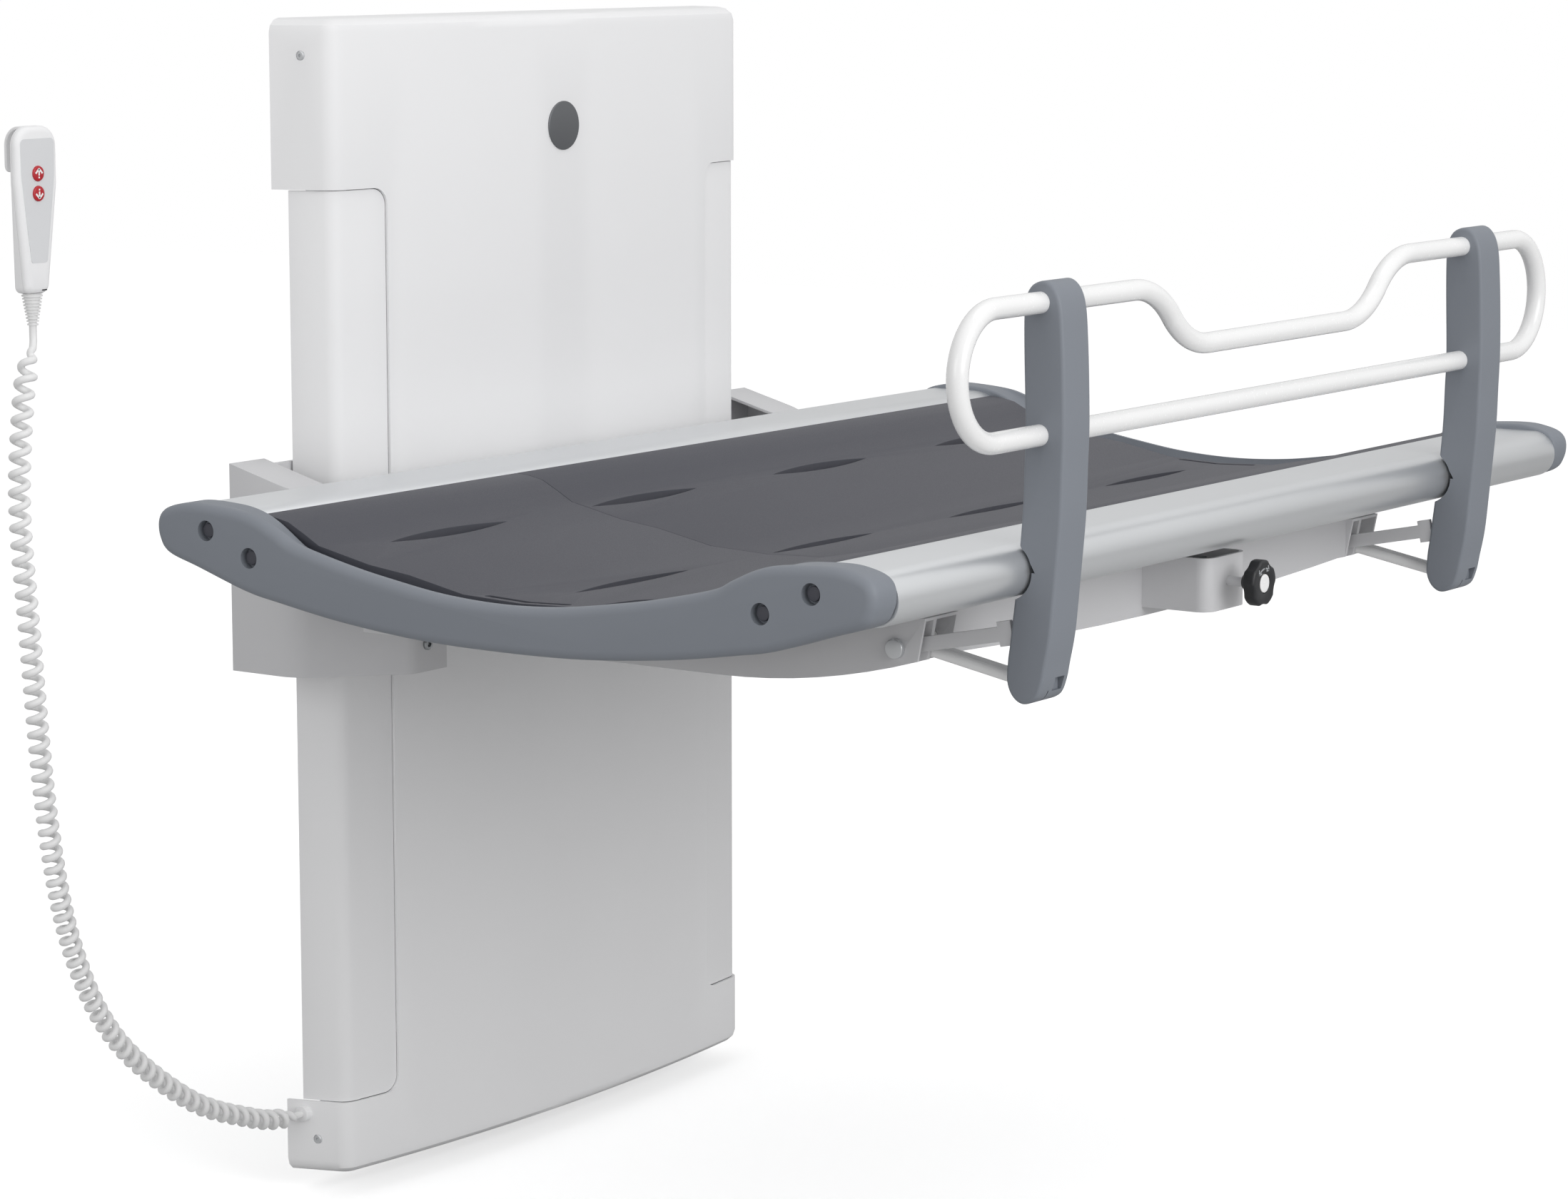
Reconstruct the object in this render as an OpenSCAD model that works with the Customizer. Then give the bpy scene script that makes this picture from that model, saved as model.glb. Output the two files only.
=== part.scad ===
// Wall-mounted changing table with an electric lift column, a fold-up bed, a swing-down
// safety rail and a hand control on a curly cord.
// Frame: the origin is on the wall, at the centre of the bolt pattern. X runs along the wall,
// Y into the wall and Z up, so everything stands out towards -Y. Millimetres.

/* [Column] */
// Width of the column covers at the wall
column_w = 712; // [680:1:740]
// Height of the column covers
column_h = 1154; // [1130:1:1260]
// Depth of the column at the middle of its front
column_d = 84; // [80:0.5:96]
// Depth of the column at its front corners
column_edge_d = 62.5; // [60:0.5:68]
// How much each side draws in towards the front
side_taper = 20; // [12:1:24]
// Radius of the vertical front corners
corner_r = 20; // [12:1:26]
// Radius of the top and bottom edges
edge_r = 14; // [8:1:20]
// Wall of the moulded covers
cover_wall = 3; // [2:0.5:4]
// Height of the top cap, down to the side strips
top_cap_h = 166; // [150:1:180]
// Height of the bottom cap, up to the side strips
bottom_cap_h = 75; // [60:1:90]
// Distance from the side of the column to the seam between front and side strip
strip_w = 91; // [76:1:106]
// Radius of the seam where it turns towards the side
seam_r = 17; // [10:1:24]
// How far the side strips lie back from the front cover
strip_recess = 2.5; // [1.5:0.5:3]
// Width of the joint between two covers
seam_gap = 0.8; // [0.5:0.1:1.5]
// Slot between the wall and the side strips, for the carriage plate
slot_d = 15; // [14:0.5:20]
// Diameter of the plain badge disc
badge_d = 50; // [40:1:60]
// Height of the badge disc above the middle of the column
badge_z = 462; // [440:1:480]

/* [Wall frame] */
// Width of the back plate
plate_w = 500; // [460:1:520]
// Thickness of the back plate
plate_t = 4; // [3:0.5:5]
// Distance between the wall bolts along the wall
bolt_x = 300; // [260:1:340]
// Distance from the wall bolts to the top and the bottom of the column
bolt_edge = 85; // [82:1:89]
// Diameter of the wall bolt holes
bolt_hole_d = 11; // [9:0.5:13]
// Diameter of the guide shafts
shaft_d = 20; // [16:1:24]
// Distance between the two guide shafts
shaft_gauge = 420; // [400:1:440]
// Distance from the wall to the guide shafts
shaft_y = 36; // [34:0.5:38]
// Diameter of the lead screw
screw_d = 16; // [12:1:18]
// Height of the two cross bars that hold the shafts
bar_h = 24; // [20:1:28]
// Steel left in front of the shafts in the two cross bars
bar_wall = 3; // [2:0.5:4]

/* [Carriage] */
// Thickness of the carriage plate
carriage_t = 6; // [5:0.5:7]
// Width of the slide bearings
bearing_w = 56; // [48:1:60]
// Height of the slide bearings
bearing_h = 58; // [40:1:64]
// Width over the two brackets
bracket_span = 860; // [850:1:880]
// Sheet of the brackets
bracket_t = 3; // [2.5:0.5:4]
// Lowest edge of the brackets, below the middle of the column
bracket_low = 54; // [50:1:60]
// Top edge of the brackets at the wall
bracket_high = 151; // [148:1:156]
// Distance from the wall to the front flange of the brackets
flange_y = 163; // [162.5:0.1:163.5]
// Distance from the middle to the inner end of the front flange
flange_x = 294; // [280:1:300]
// Thickness of the hinge lugs
lug_t = 10; // [8:1:12]
// Diameter of the bed hinge pins
hinge_pin_d = 16; // [12:1:20]

/* [Bed] */
// Length of the table over its end caps
table_l = 1312; // [1200:1:1400]
// Depth of the table over its two rails
table_d = 794.5; // [780:0.5:810]
// Distance from the wall to the wall rail
table_gap = 116.5; // [115.5:0.1:117.5]
// Height of the rail tops above the middle of the column
table_z = 141; // [140:0.5:142]
// Radius of the round outer edge of the rails
nose_r = 23.5; // [23:0.1:24]
// Wall of the rails
rail_wall = 3; // [2:0.5:3.5]
// Thickness of the end caps
cap_t = 36; // [28:1:44]
// Height of the end caps
cap_h = 105; // [100:1:110]
// Thickness of the bed panels
bed_t = 10; // [6:0.5:11]
// Sag of the bed below the rails
bed_sag = 55.5; // [50:0.5:56]
// Distance from the middle to the joint between the two bed panels
bed_joint_x = 245; // [235:1:260]
// Length of the drain slots
drain_l = 172; // [140:1:180]
// Width of the drain slots at their middle
drain_w = 18; // [12:1:22]

/* [Arms] */
// Distance between the middles of the two arms
arm_gauge = 792; // [790:1:800]
// Width of the arms
arm_w = 54; // [52:1:56]
// Top of the arms above the middle of the column
arm_top = 69; // [66:0.5:70]
// Lowest edge of the arms below the middle of the column
arm_low = 2; // [0:0.5:8]
// Distance from the table's front edge back to the front ends of the arms
arm_front_in = 103; // [99:1:107]
// Wall of the arms
arm_wall = 2.8; // [2:0.1:3.2]
// Width of the narrow chamber of the arms
arm_chamber_w = 12.3; // [11:0.1:13]
// Wall between the two chambers of the arms
arm_divider = 4.7; // [3:0.1:5]

/* [Safety rail] */
// Distance from the table's front edge back to the pivot of the safety rail
pivot_in = 133; // [131:1:135]
// Height of the pivot above the middle of the column
pivot_z = 40; // [39:0.5:41]
// Diameter of the pivot shafts
pivot_d = 12; // [10:1:14]
// Diameter of the bent tube
tube_d = 19; // [16:0.5:22]
// How far the middle of the bent tube stands out past the table's front edge
tube_out = 9; // [7:1:11]
// Height of the upper run of the bent tube
tube_high = 350.5; // [345:0.5:354]
// Height of the lower run of the bent tube
tube_low = 237; // [230:0.5:245]
// Height of the dip in the middle of the upper run
tube_dip = 294; // [285:0.5:300]
// Length of the straight runs between the end loops
tube_run = 981; // [940:1:1020]
// Length of the low stretch of the dip
dip_l = 260; // [200:1:300]
// Length of each bend into the dip
dip_bend = 132; // [110:1:150]
// Width of the posts
post_w = 44; // [42:1:46]
// Depth of the posts where they are narrowest
post_d = 41; // [38:0.5:42]
// Lower end of the posts above the middle of the column
post_low = 2; // [0:0.5:4]
// Upper end of the posts above the middle of the column
post_high = 369; // [366:0.5:380]
// Thickness of the flat links
strip_t = 5; // [4:0.5:6]
// Height of the flat links
strip_h = 13; // [10:0.5:15]
// Diameter of the round links
rod_d = 10; // [8:0.5:11]
// Distance between the two round links of a pair
rod_gauge = 12; // [11.5:0.5:13]

/* [Front beam and knob] */
// Distance from the table's front edge back to the face of the front beam
beam_in = 111; // [109:0.5:113]
// Depth of the front beam
beam_d = 34; // [28:1:40]
// Lowest edge of the front beam above the middle of the column
beam_low = 21; // [18:0.5:26]
// Rise of the lower edge from the middle to the arms
beam_arch = 10; // [4:0.5:14]
// Wall of the front beam
beam_wall = 4; // [3:0.5:5]
// Width of the spindle housing
housing_w = 76; // [68:1:84]
// Distance from the table's front edge back to the front of the spindle housing
housing_in = 39; // [35:1:43]
// Height of the spindle above the middle of the column
knob_z = 56.5; // [55:0.5:58]
// Diameter of the spindle
spindle_d = 9; // [8:0.5:10]
// Diameter of the star knob
knob_d = 44; // [38:1:50]
// Thickness of the star knob
knob_h = 22; // [18:1:26]

/* [Hand control] */
// Distance from the side of the column to the middle of the hand control
handset_gap = 369; // [359:1:384]
// Distance from the top of the column down to the top of the hand control
handset_drop = 89; // [77:1:97]
// Length of the hand control's shell
handset_l = 151; // [140:1:160]
// Width of the shell at its top
handset_w = 52; // [48:1:56]
// Width of the shell at its lower end
handset_end_w = 28; // [26:1:34]
// Thickness of the shell at its top
handset_t = 10; // [9:0.5:12]
// Thickness of the shell at its lower end
handset_end_t = 18; // [16:0.5:20]
// Depth of the hook behind the shell
hook_d = 20; // [18:0.5:24]
// Width of the hook
hook_w = 24; // [18:1:28]
// Diameter of the buttons
button_d = 14; // [12:0.5:16]
// Distance between the two buttons
button_gauge = 18; // [17:0.5:20]
// Travel of the buttons
button_travel = 1.2; // [0.8:0.1:1.6]
// Diameter of the cord
cord_d = 7; // [6:0.5:7]
// Outer diameter of the curls
curl_d = 21; // [19:0.5:22]

/* [Hidden] */

// Cuts run past the faces that they open by this much
overrun = 1;
// Radial clearance of a pin or slide in its bore
fit = 0.05;
// Clearance between flat faces that move past or rest on each other
seat_gap = 0.3;
$fn = 64;

cover_grey = "#e3e3e5";
trim_grey = "#7f848c";
bed_grey = "#5c5d64";
bracket_grey = "#b0b0b2";
satin = "#c4c6c8";
steel = "#a8abad";
black = "#222326";
face_grey = "#cdd1d4";
button_red = "#c8202a";
white = "#efefef";

// Geometry helpers

function unit(v) = v / norm(v);

function arc(centre, r, from, to, steps) =
    [for (i = [0:steps]) let (a = from + (to - from) * i / steps) centre + r * [cos(a), sin(a)]];

function corner(a, b, c, r, steps) =
    let (
        u = unit(a - b),
        v = unit(c - b),
        half = acos(u * v) / 2,
        centre = b + unit(u + v) * r / sin(half),
        start = b + u * r / tan(half) - centre,
        from = atan2(start.y, start.x),
        turn = (180 - 2 * half) * sign(cross(u, v))
    )
    arc(centre, r, from, from - turn, steps);

// An outline whose corners are rounded, each by its own radius
function rounded(points, radii, steps = 6) =
    let (n = len(points))
    [for (i = [0:n - 1])
        each radii[i] == 0
            ? [points[i]]
            : corner(points[(i + n - 1) % n], points[i], points[(i + 1) % n], radii[i], steps)];

function at_height(outline, z) = [for (p = outline) [p.x, p.y, z]];

// A closed solid through a stack of outlines that run counter-clockwise
module skin(rings) {
    n = len(rings[0]);
    last = len(rings) - 1;
    sides = [for (k = [0:last - 1], i = [0:n - 1], half = [0, 1])
        let (a = k * n + i, b = k * n + (i + 1) % n)
        half == 0 ? [a, a + n, b + n] : [a, b + n, b]];
    floor_face = [for (i = [0:n - 1]) i];
    roof_face = [for (i = [0:n - 1]) last * n + n - 1 - i];
    polyhedron([for (r = rings) each r], concat([floor_face, roof_face], sides), convexity = 8);
}

// A [y, z] outline drawn out along X, centred on x
module along_x(x, length) {
    translate([x - length / 2, 0, 0])
        rotate([90, 0, 90])
            linear_extrude(length, convexity = 8) children();
}

// An [x, z] outline drawn out from one distance off the wall to another
module off_wall(near, far) {
    translate([0, -near, 0])
        rotate([90, 0, 0])
            linear_extrude(far - near, convexity = 8) children();
}

module rod_x(x, length, y, z, d) {
    translate([x - length / 2, y, z]) rotate([0, 90, 0]) cylinder(length, d = d);
}

module rod_y(x, z, near, far, d) {
    translate([x, -near, z]) rotate([90, 0, 0]) cylinder(far - near, d = d);
}

module box(x, y, z) {
    translate([x[0], y[0], z[0]]) cube([x[1] - x[0], y[1] - y[0], z[1] - z[0]]);
}

// Column

column_top = column_h / 2;
seam_x = column_w / 2 - strip_w;
strip_top = column_top - top_cap_h;
strip_low = bottom_cap_h - column_top;
front_steps = 14;

// The column seen from above, drawn in by inset, with its back moved into the wall by back
function column_plan(inset, back = 0) =
    let (
        half = column_w / 2 - inset,
        slope = side_taper / column_edge_d,
        edge = [half - side_taper, inset - column_edge_d],
        bow = column_d - column_edge_d,
        r = (edge.x * edge.x + bow * bow) / (2 * bow),
        reach = asin(edge.x / r),
        round = corner_r - inset
    )
    concat(
        [[half + slope * back, back], [-half - slope * back, back]],
        corner([-half, 0], [-edge.x, edge.y],
            [-r * sin(reach * (1 - 2 / front_steps)),
                r - column_d + inset - r * cos(reach * (1 - 2 / front_steps))], round, 5),
        [for (i = [1:front_steps - 1])
            let (a = reach * (2 * i / front_steps - 1))
            [r * sin(a), r - column_d + inset - r * cos(a)]],
        corner([r * sin(reach * (1 - 2 / front_steps)),
                r - column_d + inset - r * cos(reach * (1 - 2 / front_steps))],
            [edge.x, edge.y], [half, 0], round, 5));

edge_steps = 3;

// The space that the covers take up, with its round top and bottom edges
module column_form(inset, back) {
    r = edge_r - inset;
    top = column_top - inset;
    turns = [for (i = [0:edge_steps]) 90 * i / edge_steps];
    skin(concat(
        [for (a = turns) at_height(column_plan(inset + r - r * sin(a), back), -top + r - r * cos(a))],
        [for (a = turns) at_height(column_plan(inset + r - r * cos(a), back), top - r + r * sin(a))]));
}

// The outline of one side strip, seen from the front
module strip_window(side, gap) {
    far = column_w;
    polygon(rounded(
        [[side * (seam_x + gap), strip_low + gap], [side * far, strip_low + gap],
            [side * far, strip_top - gap], [side * (seam_x + gap), strip_top - gap]],
        [seam_r - gap, 0, 0, seam_r - gap]));
}

cover_screw_y = 31;
cover_screw_edge = 36;
cover_screw_z = column_top - cover_screw_edge;
cover_screw_d = 5;
cover_screw_head_d = 9;
cover_screw_head_h = 2.4;
cover_screw_seat = 1.6;
cover_screw_l = 24;
badge_t = 2.5;
badge_proud = 1.5;

function side_x_at(y) = column_w / 2 - side_taper * y / column_edge_d;

module cover_screw_holes() {
    for (side = [-1, 1], level = [-1, 1]) {
        z = level * cover_screw_z;
        rod_x(side * column_w / 2, column_w / 4, -cover_screw_y, z, cover_screw_d);
        rod_x(side * (side_x_at(cover_screw_y) - cover_screw_seat + column_w / 2), column_w,
            -cover_screw_y, z, cover_screw_head_d + seat_gap);
    }
}

module front_cover() {
    color(cover_grey)
    difference() {
        column_form(0, 0);
        column_form(cover_wall, overrun);
        for (side = [-1, 1]) {
            off_wall(-overrun, column_d + overrun) strip_window(side, 0);
        }
        rod_y(0, badge_z, column_d - badge_t + badge_proud, column_d + overrun, badge_d);
        cover_screw_holes();
        rod_x(gland_x, 4 * gland_l, gland_y, gland_z, gland_d);
    }
}

clip_h = 8;
clip_count = 5;
post_edge = 28;
post_size = 28;
post_out = column_w / 2 - post_edge;
post_in = post_out - post_size;
post_back = 19;
post_front = 48;

// A side strip with the clips that hold it to its post
module side_strip(side) {
    color(cover_grey)
    difference() {
        intersection() {
            union() {
                linear_extrude(column_h, center = true)
                    difference() {
                        polygon(column_plan(strip_recess));
                        polygon(column_plan(strip_recess + cover_wall, overrun));
                    }
                for (i = [0:clip_count - 1]) {
                    translate([0, 0, strip_low + (strip_top - strip_low) * (i + 0.5) / clip_count])
                        linear_extrude(clip_h, center = true)
                            intersection() {
                                polygon(column_plan(strip_recess));
                                translate([side > 0 ? post_out : -column_w / 2, -post_front])
                                    square([column_w / 2 - post_out, post_front - post_back]);
                            }
                }
            }
            off_wall(0, column_d + overrun) strip_window(side, seam_gap);
        }
        box([-column_w, column_w], [-slot_d, overrun], [-column_h, column_h]);
    }
}

module side_strip_left() side_strip(-1);
module side_strip_right() side_strip(1);

module badge_disc() {
    color(face_grey)
    rod_y(0, badge_z, column_d - badge_t + badge_proud, column_d + badge_proud, badge_d);
}

module cover_screws() {
    color(steel)
    for (side = [-1, 1], level = [-1, 1]) {
        z = level * cover_screw_z;
        x = side_x_at(cover_screw_y);
        rod_x(side * (x - cover_screw_l / 2), cover_screw_l, -cover_screw_y, z, cover_screw_d);
        rod_x(side * (x - cover_screw_seat + cover_screw_head_h / 2), cover_screw_head_h,
            -cover_screw_y, z, cover_screw_head_d);
    }
}

// Wall frame

plate_h = column_h - 4 * cover_wall;
bolt_z = column_h - 2 * bolt_edge;
bar_z = cover_screw_z;
bar_d = shaft_y + shaft_d / 2 + bar_wall - plate_t;
bar_l = 2 * (side_x_at(plate_t + bar_d) - cover_wall - overrun);

module back_plate() {
    color(steel)
    difference() {
        box([-plate_w / 2, plate_w / 2], [-plate_t, 0], [-plate_h / 2, plate_h / 2]);
        for (x = [-bolt_x / 2, bolt_x / 2], z = [-bolt_z / 2, bolt_z / 2]) {
            rod_y(x, z, -overrun, plate_t + overrun, bolt_hole_d);
        }
    }
}

module cross_bars() {
    color(steel)
    difference() {
        for (level = [-1, 1]) {
            box([-bar_l / 2, bar_l / 2], [-plate_t - bar_d, -plate_t],
                [level * bar_z - bar_h / 2, level * bar_z + bar_h / 2]);
        }
        for (x = [-shaft_gauge / 2, shaft_gauge / 2]) {
            translate([x, -shaft_y, 0]) cylinder(column_h, d = shaft_d, center = true);
        }
        translate([0, -shaft_y, 0]) cylinder(column_h, d = screw_d, center = true);
        cover_screw_holes();
    }
}

shaft_l = 2 * bar_z + bar_h;

module guide_shafts() {
    color(steel)
    for (x = [-shaft_gauge / 2, shaft_gauge / 2]) {
        translate([x, -shaft_y, 0]) cylinder(shaft_l, d = shaft_d, center = true);
    }
}

module lead_screw() {
    color(steel)
    translate([0, -shaft_y, 0]) cylinder(shaft_l, d = screw_d, center = true);
}

module cover_posts() {
    color(satin)
    for (side = [-1, 1]) {
        translate([0, 0, -bar_z + bar_h / 2])
            linear_extrude(2 * bar_z - bar_h)
                difference() {
                    translate([side > 0 ? post_in : -post_out, -post_front])
                        square([post_out - post_in, post_front - post_back]);
                    translate([side > 0 ? post_in - overrun : -post_out + cover_wall,
                            -post_front + cover_wall])
                        square([post_out - post_in - cover_wall + overrun,
                            post_front - post_back - 2 * cover_wall]);
                }
    }
}

control_w = 106;
control_h = 46;
control_d = 50;
control_x = -75;

module control_box() {
    color(black)
    box([control_x - control_w / 2, control_x + control_w / 2], [-plate_t - control_d, -plate_t],
        [-bar_z + bar_h / 2, -bar_z + bar_h / 2 + control_h]);
}

// Carriage

bracket_in = 379;
bracket_turn_y = 84;
bracket_slope = 22;
flange_turn_x = 345;
outer_turn_r = 40;
flange_turn_r = 20;
flange_high = 90;
bracket_shoulder_y = 112;
bracket_back_y = 5;

carriage_play = 2;
carriage_y = plate_t + carriage_play;
carriage_front = carriage_y + carriage_t;
carriage_low = bracket_low - bracket_t;
// The plate ends just under the brackets' sloping top sheets
carriage_high = bracket_high - bracket_t - seat_gap
    - bracket_slope * (carriage_front + overrun) / (bracket_turn_y + overrun);
carriage_half = bracket_span / 2 - bracket_t;
bearing_front = shaft_y + shaft_d;
drive_w = 150;
drive_h = 52;
drive_d = 48;
motor_d = 46;
motor_h = 110;
motor_x = 48;

module carriage_plate() {
    color(steel)
    box([-carriage_half, carriage_half], [-carriage_front, -carriage_y], [-carriage_low, carriage_high]);
}

module slide_bearings() {
    color(black)
    difference() {
        for (side = [-1, 1], z = [-carriage_low, carriage_high - bearing_h]) {
            x = side * shaft_gauge / 2;
            box([x - bearing_w / 2, x + bearing_w / 2], [-bearing_front, -carriage_front],
                [z, z + bearing_h]);
        }
        for (side = [-1, 1]) {
            translate([side * shaft_gauge / 2, -shaft_y, 0])
                cylinder(column_h, d = shaft_d + 2 * fit, center = true);
        }
    }
}

// The gearbox, with the nut that turns on the lead screw inside it, and the motor on top
module drive_unit() {
    color(black)
    difference() {
        union() {
            box([-drive_w / 2, drive_w / 2], [-carriage_front - drive_d, -carriage_front],
                [-carriage_low, drive_h - carriage_low]);
            translate([motor_x, -carriage_front - drive_d / 2, drive_h - carriage_low])
                cylinder(motor_h, d = motor_d);
        }
        translate([0, -shaft_y, 0]) cylinder(column_h, d = screw_d + 2 * fit, center = true);
    }
}

// One bracket seen from above, inset from its outer faces
module bracket_plan(inset) {
    half = bracket_span / 2 - inset;
    front = -flange_y + inset;
    turn = -bracket_turn_y + inset / 2;
    open = bracket_span / 2 - bracket_t;
    run = (open - bracket_in) / (open - flange_turn_x);
    in_y = -bracket_turn_y - run * (flange_y - bracket_turn_y) + bracket_t;
    back = inset > 0 ? overrun : -bracket_back_y;
    in_x = inset > 0 ? flange_x - overrun : flange_x;
    inner = inset > 0
        ? [[half, back], [in_x, back]]
        : [[half, back], [bracket_in, back], [bracket_in, in_y],
            [flange_turn_x, -flange_y + bracket_t], [in_x, -flange_y + bracket_t]];
    polygon(rounded(
        concat([[in_x, front], [flange_turn_x, front], [half, turn]], inner),
        [0, flange_turn_r - inset, outer_turn_r - inset, 0, 0, 0, 0, 0]));
}

// One bracket seen from the side, inset below its top faces
module bracket_side(inset) {
    low = inset > 0 ? -bracket_low - overrun : -bracket_low;
    far = flange_y + overrun;
    back = inset > 0 ? overrun : 0;
    polygon([[back, low], [back, bracket_high - inset],
        [-bracket_turn_y, bracket_high - bracket_slope - inset],
        [-bracket_shoulder_y + inset / 2, flange_high - inset / 2],
        [-far, flange_high - inset / 2], [-far, low]]);
}

module bracket(side) {
    color(bracket_grey)
    mirror([side < 0 ? 1 : 0, 0, 0])
    difference() {
        intersection() {
            translate([0, 0, -bracket_low - overrun])
                linear_extrude(bracket_high + bracket_low + 2 * overrun) bracket_plan(0);
            along_x(bracket_span / 2, bracket_span) bracket_side(0);
        }
        intersection() {
            translate([0, 0, -bracket_low - 2 * overrun])
                linear_extrude(bracket_high + bracket_low + 2 * overrun) bracket_plan(bracket_t);
            along_x(bracket_span / 2, bracket_span) bracket_side(bracket_t);
        }
    }
}

module bracket_left() bracket(-1);
module bracket_right() bracket(1);

hinge_y = table_gap + nose_r;
hinge_z = table_z - nose_r;
lug_x = 333;
lug_r = 14;
lug_low = 10;
lug_neck = 84;

module hinge_lugs() {
    color(bracket_grey)
    for (side = [-1, 1]) {
        difference() {
            along_x(side * lug_x, lug_t) {
                translate([-hinge_y, hinge_z]) circle(lug_r);
                polygon([[-hinge_y + lug_r, lug_low], [-hinge_y + lug_r, hinge_z],
                    [-hinge_y - lug_r, hinge_z], [-hinge_y - lug_r, lug_neck],
                    [-flange_y + bracket_t, lug_neck - lug_r / 2], [-flange_y + bracket_t, lug_low]]);
            }
            rod_x(side * lug_x, 2 * lug_t, -hinge_y, hinge_z, hinge_pin_d + 2 * fit);
        }
    }
}

flange_bolt_x = 324;
flange_bolt_z = -27;
flange_bolt_d = 12;
flange_bolt_h = 3;

module flange_bolts() {
    color(steel)
    for (side = [-1, 1]) {
        rod_y(side * flange_bolt_x, flange_bolt_z, flange_y, flange_y + flange_bolt_h, flange_bolt_d);
    }
}

stop_x = 312;
stop_z = 30;
stop_d = 20;
stop_h = 3;

module stop_pads() {
    color(black)
    for (side = [-1, 1]) {
        rod_y(side * stop_x, stop_z, flange_y, flange_y + stop_h, stop_d);
    }
}

// Bed

mid_y = table_gap + table_d / 2;
bed_front = table_gap + table_d;
arm_front_y = bed_front - arm_front_in;
pivot_y = bed_front - pivot_in;
tube_y = bed_front + tube_out;
beam_y = bed_front - beam_in;
housing_y = bed_front - housing_in;
rail_l = table_l - 2 * cap_t;
rail_in = 103;
rail_lip = 73;
rail_flat = 51;
ledge_h = 8.7;
port_d = 5;
port_one = [39.6, 5.5];
port_two = [91, -15.5];
notch_room = 4;
notch_w = lug_t + notch_room;
notch_reach = lug_r + overrun;
rail_chamfer = 7;
ledge_set = 9;
ledge_t = 2.6;
nose_squash = 0.4;

// The rail's section; x runs from the middle of its round edge towards the bed
module rail_section() {
    difference() {
        polygon(concat(
            arc([0, 0], nose_r, 90, 270, 24),
            [[rail_in - rail_chamfer, -nose_r], [rail_in, rail_chamfer - nose_r], [rail_in, 0],
                [rail_in - ledge_set, ledge_h - ledge_t],
                [rail_lip, ledge_h]],
            [for (a = [0:15:90])
                [rail_lip + (rail_flat - rail_lip) * (1 - cos(a)), nose_r * (1 - nose_squash * (1 - sin(a)))]]));
        circle(nose_r - rail_wall);
        polygon([[nose_r, nose_r - rail_wall], [port_one.x - port_d, nose_r - rail_wall],
            [port_one.x - port_d, rail_wall - nose_r], [nose_r, rail_wall - nose_r]]);
        polygon([[port_one.x + port_d, nose_r - rail_wall], [rail_flat, nose_r - rail_wall],
            [rail_lip - rail_wall, nose_r / 2], [rail_lip - rail_wall, ledge_h - rail_wall],
            [port_two.x - port_d, ledge_h - 2 * rail_wall], [port_two.x - port_d, rail_wall - nose_r],
            [port_one.x + port_d, rail_wall - nose_r]]);
        for (port = [port_one, port_two]) {
            translate(port) circle(d = port_d);
        }
    }
}

module rail(side) {
    translate([0, side * (table_d / 2 - nose_r) - mid_y, hinge_z])
        mirror([0, side > 0 ? 1 : 0, 0])
            along_x(0, rail_l) rail_section();
}

module wall_rail() {
    color(satin)
    difference() {
        rail(1);
        for (x = [-lug_x, lug_x]) {
            along_x(x, notch_w)
                translate([-hinge_y - notch_reach, hinge_z - nose_r - overrun])
                    square([nose_r + notch_reach + overrun, nose_r + notch_reach + overrun]);
        }
    }
}

module front_rail() {
    color(satin)
    rail(-1);
}

// Places on the end cap's outline, as shares of half its depth and of its height
cap_top_shares = [[0.987, 0.914], [0.94, 0.98], [0.879, 1], [0.755, 0.965], [0.69, 0.93],
    [0.63, 0.8], [0.577, 0.705], [0.436, 0.59], [0.317, 0.54], [0.164, 0.425], [0, 0.4]];
cap_low_shares = [[0, 0], [0.229, 0.019], [0.453, 0.095], [0.639, 0.2], [0.735, 0.267],
    [0.876, 0.429], [0.977, 0.533], [0.999, 0.66], [1, 0.81]];
cap_rise = 6;
cap_high_z = table_z + cap_rise;
cap_low_z = cap_high_z - cap_h;

function cap_half(shares, side) =
    [for (s = shares) [-mid_y + side * s[0] * table_d / 2, cap_low_z + s[1] * cap_h]];

function backwards(list) = [for (i = [len(list) - 1:-1:0]) list[i]];

function cap_outline() =
    concat(
        cap_half(cap_low_shares, -1),
        cap_half(cap_top_shares, -1),
        backwards(cap_half(cap_top_shares, 1)),
        backwards(cap_half(cap_low_shares, 1)));

cap_recess_d = 19;
cap_recess_h = 9;
cap_screw_head_d = 13;
cap_screw_head_h = 5;

function port_places() =
    [for (side = [-1, 1], port = [port_one, port_two])
        [-mid_y + side * (table_d / 2 - nose_r - port.x), hinge_z + port.y]];

module end_cap(side) {
    color(trim_grey)
    difference() {
        along_x(side * (table_l - cap_t) / 2, cap_t) polygon(cap_outline());
        for (p = port_places()) {
            rod_x(side * (table_l - cap_t) / 2, 2 * cap_t, p[0], p[1], port_d);
            rod_x(side * table_l / 2, 2 * cap_recess_h, p[0], p[1], cap_recess_d);
        }
    }
}

module end_cap_left() end_cap(-1);
module end_cap_right() end_cap(1);

cap_screw_l = 60;

module cap_screws() {
    color(steel)
    for (side = [-1, 1], p = port_places()) {
        seat = table_l / 2 - cap_recess_h;
        rod_x(side * (seat - cap_screw_l / 2), cap_screw_l, p[0], p[1], port_d);
        rod_x(side * (seat + cap_screw_head_h / 2), cap_screw_head_h, p[0], p[1], cap_screw_head_d);
    }
}

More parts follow.
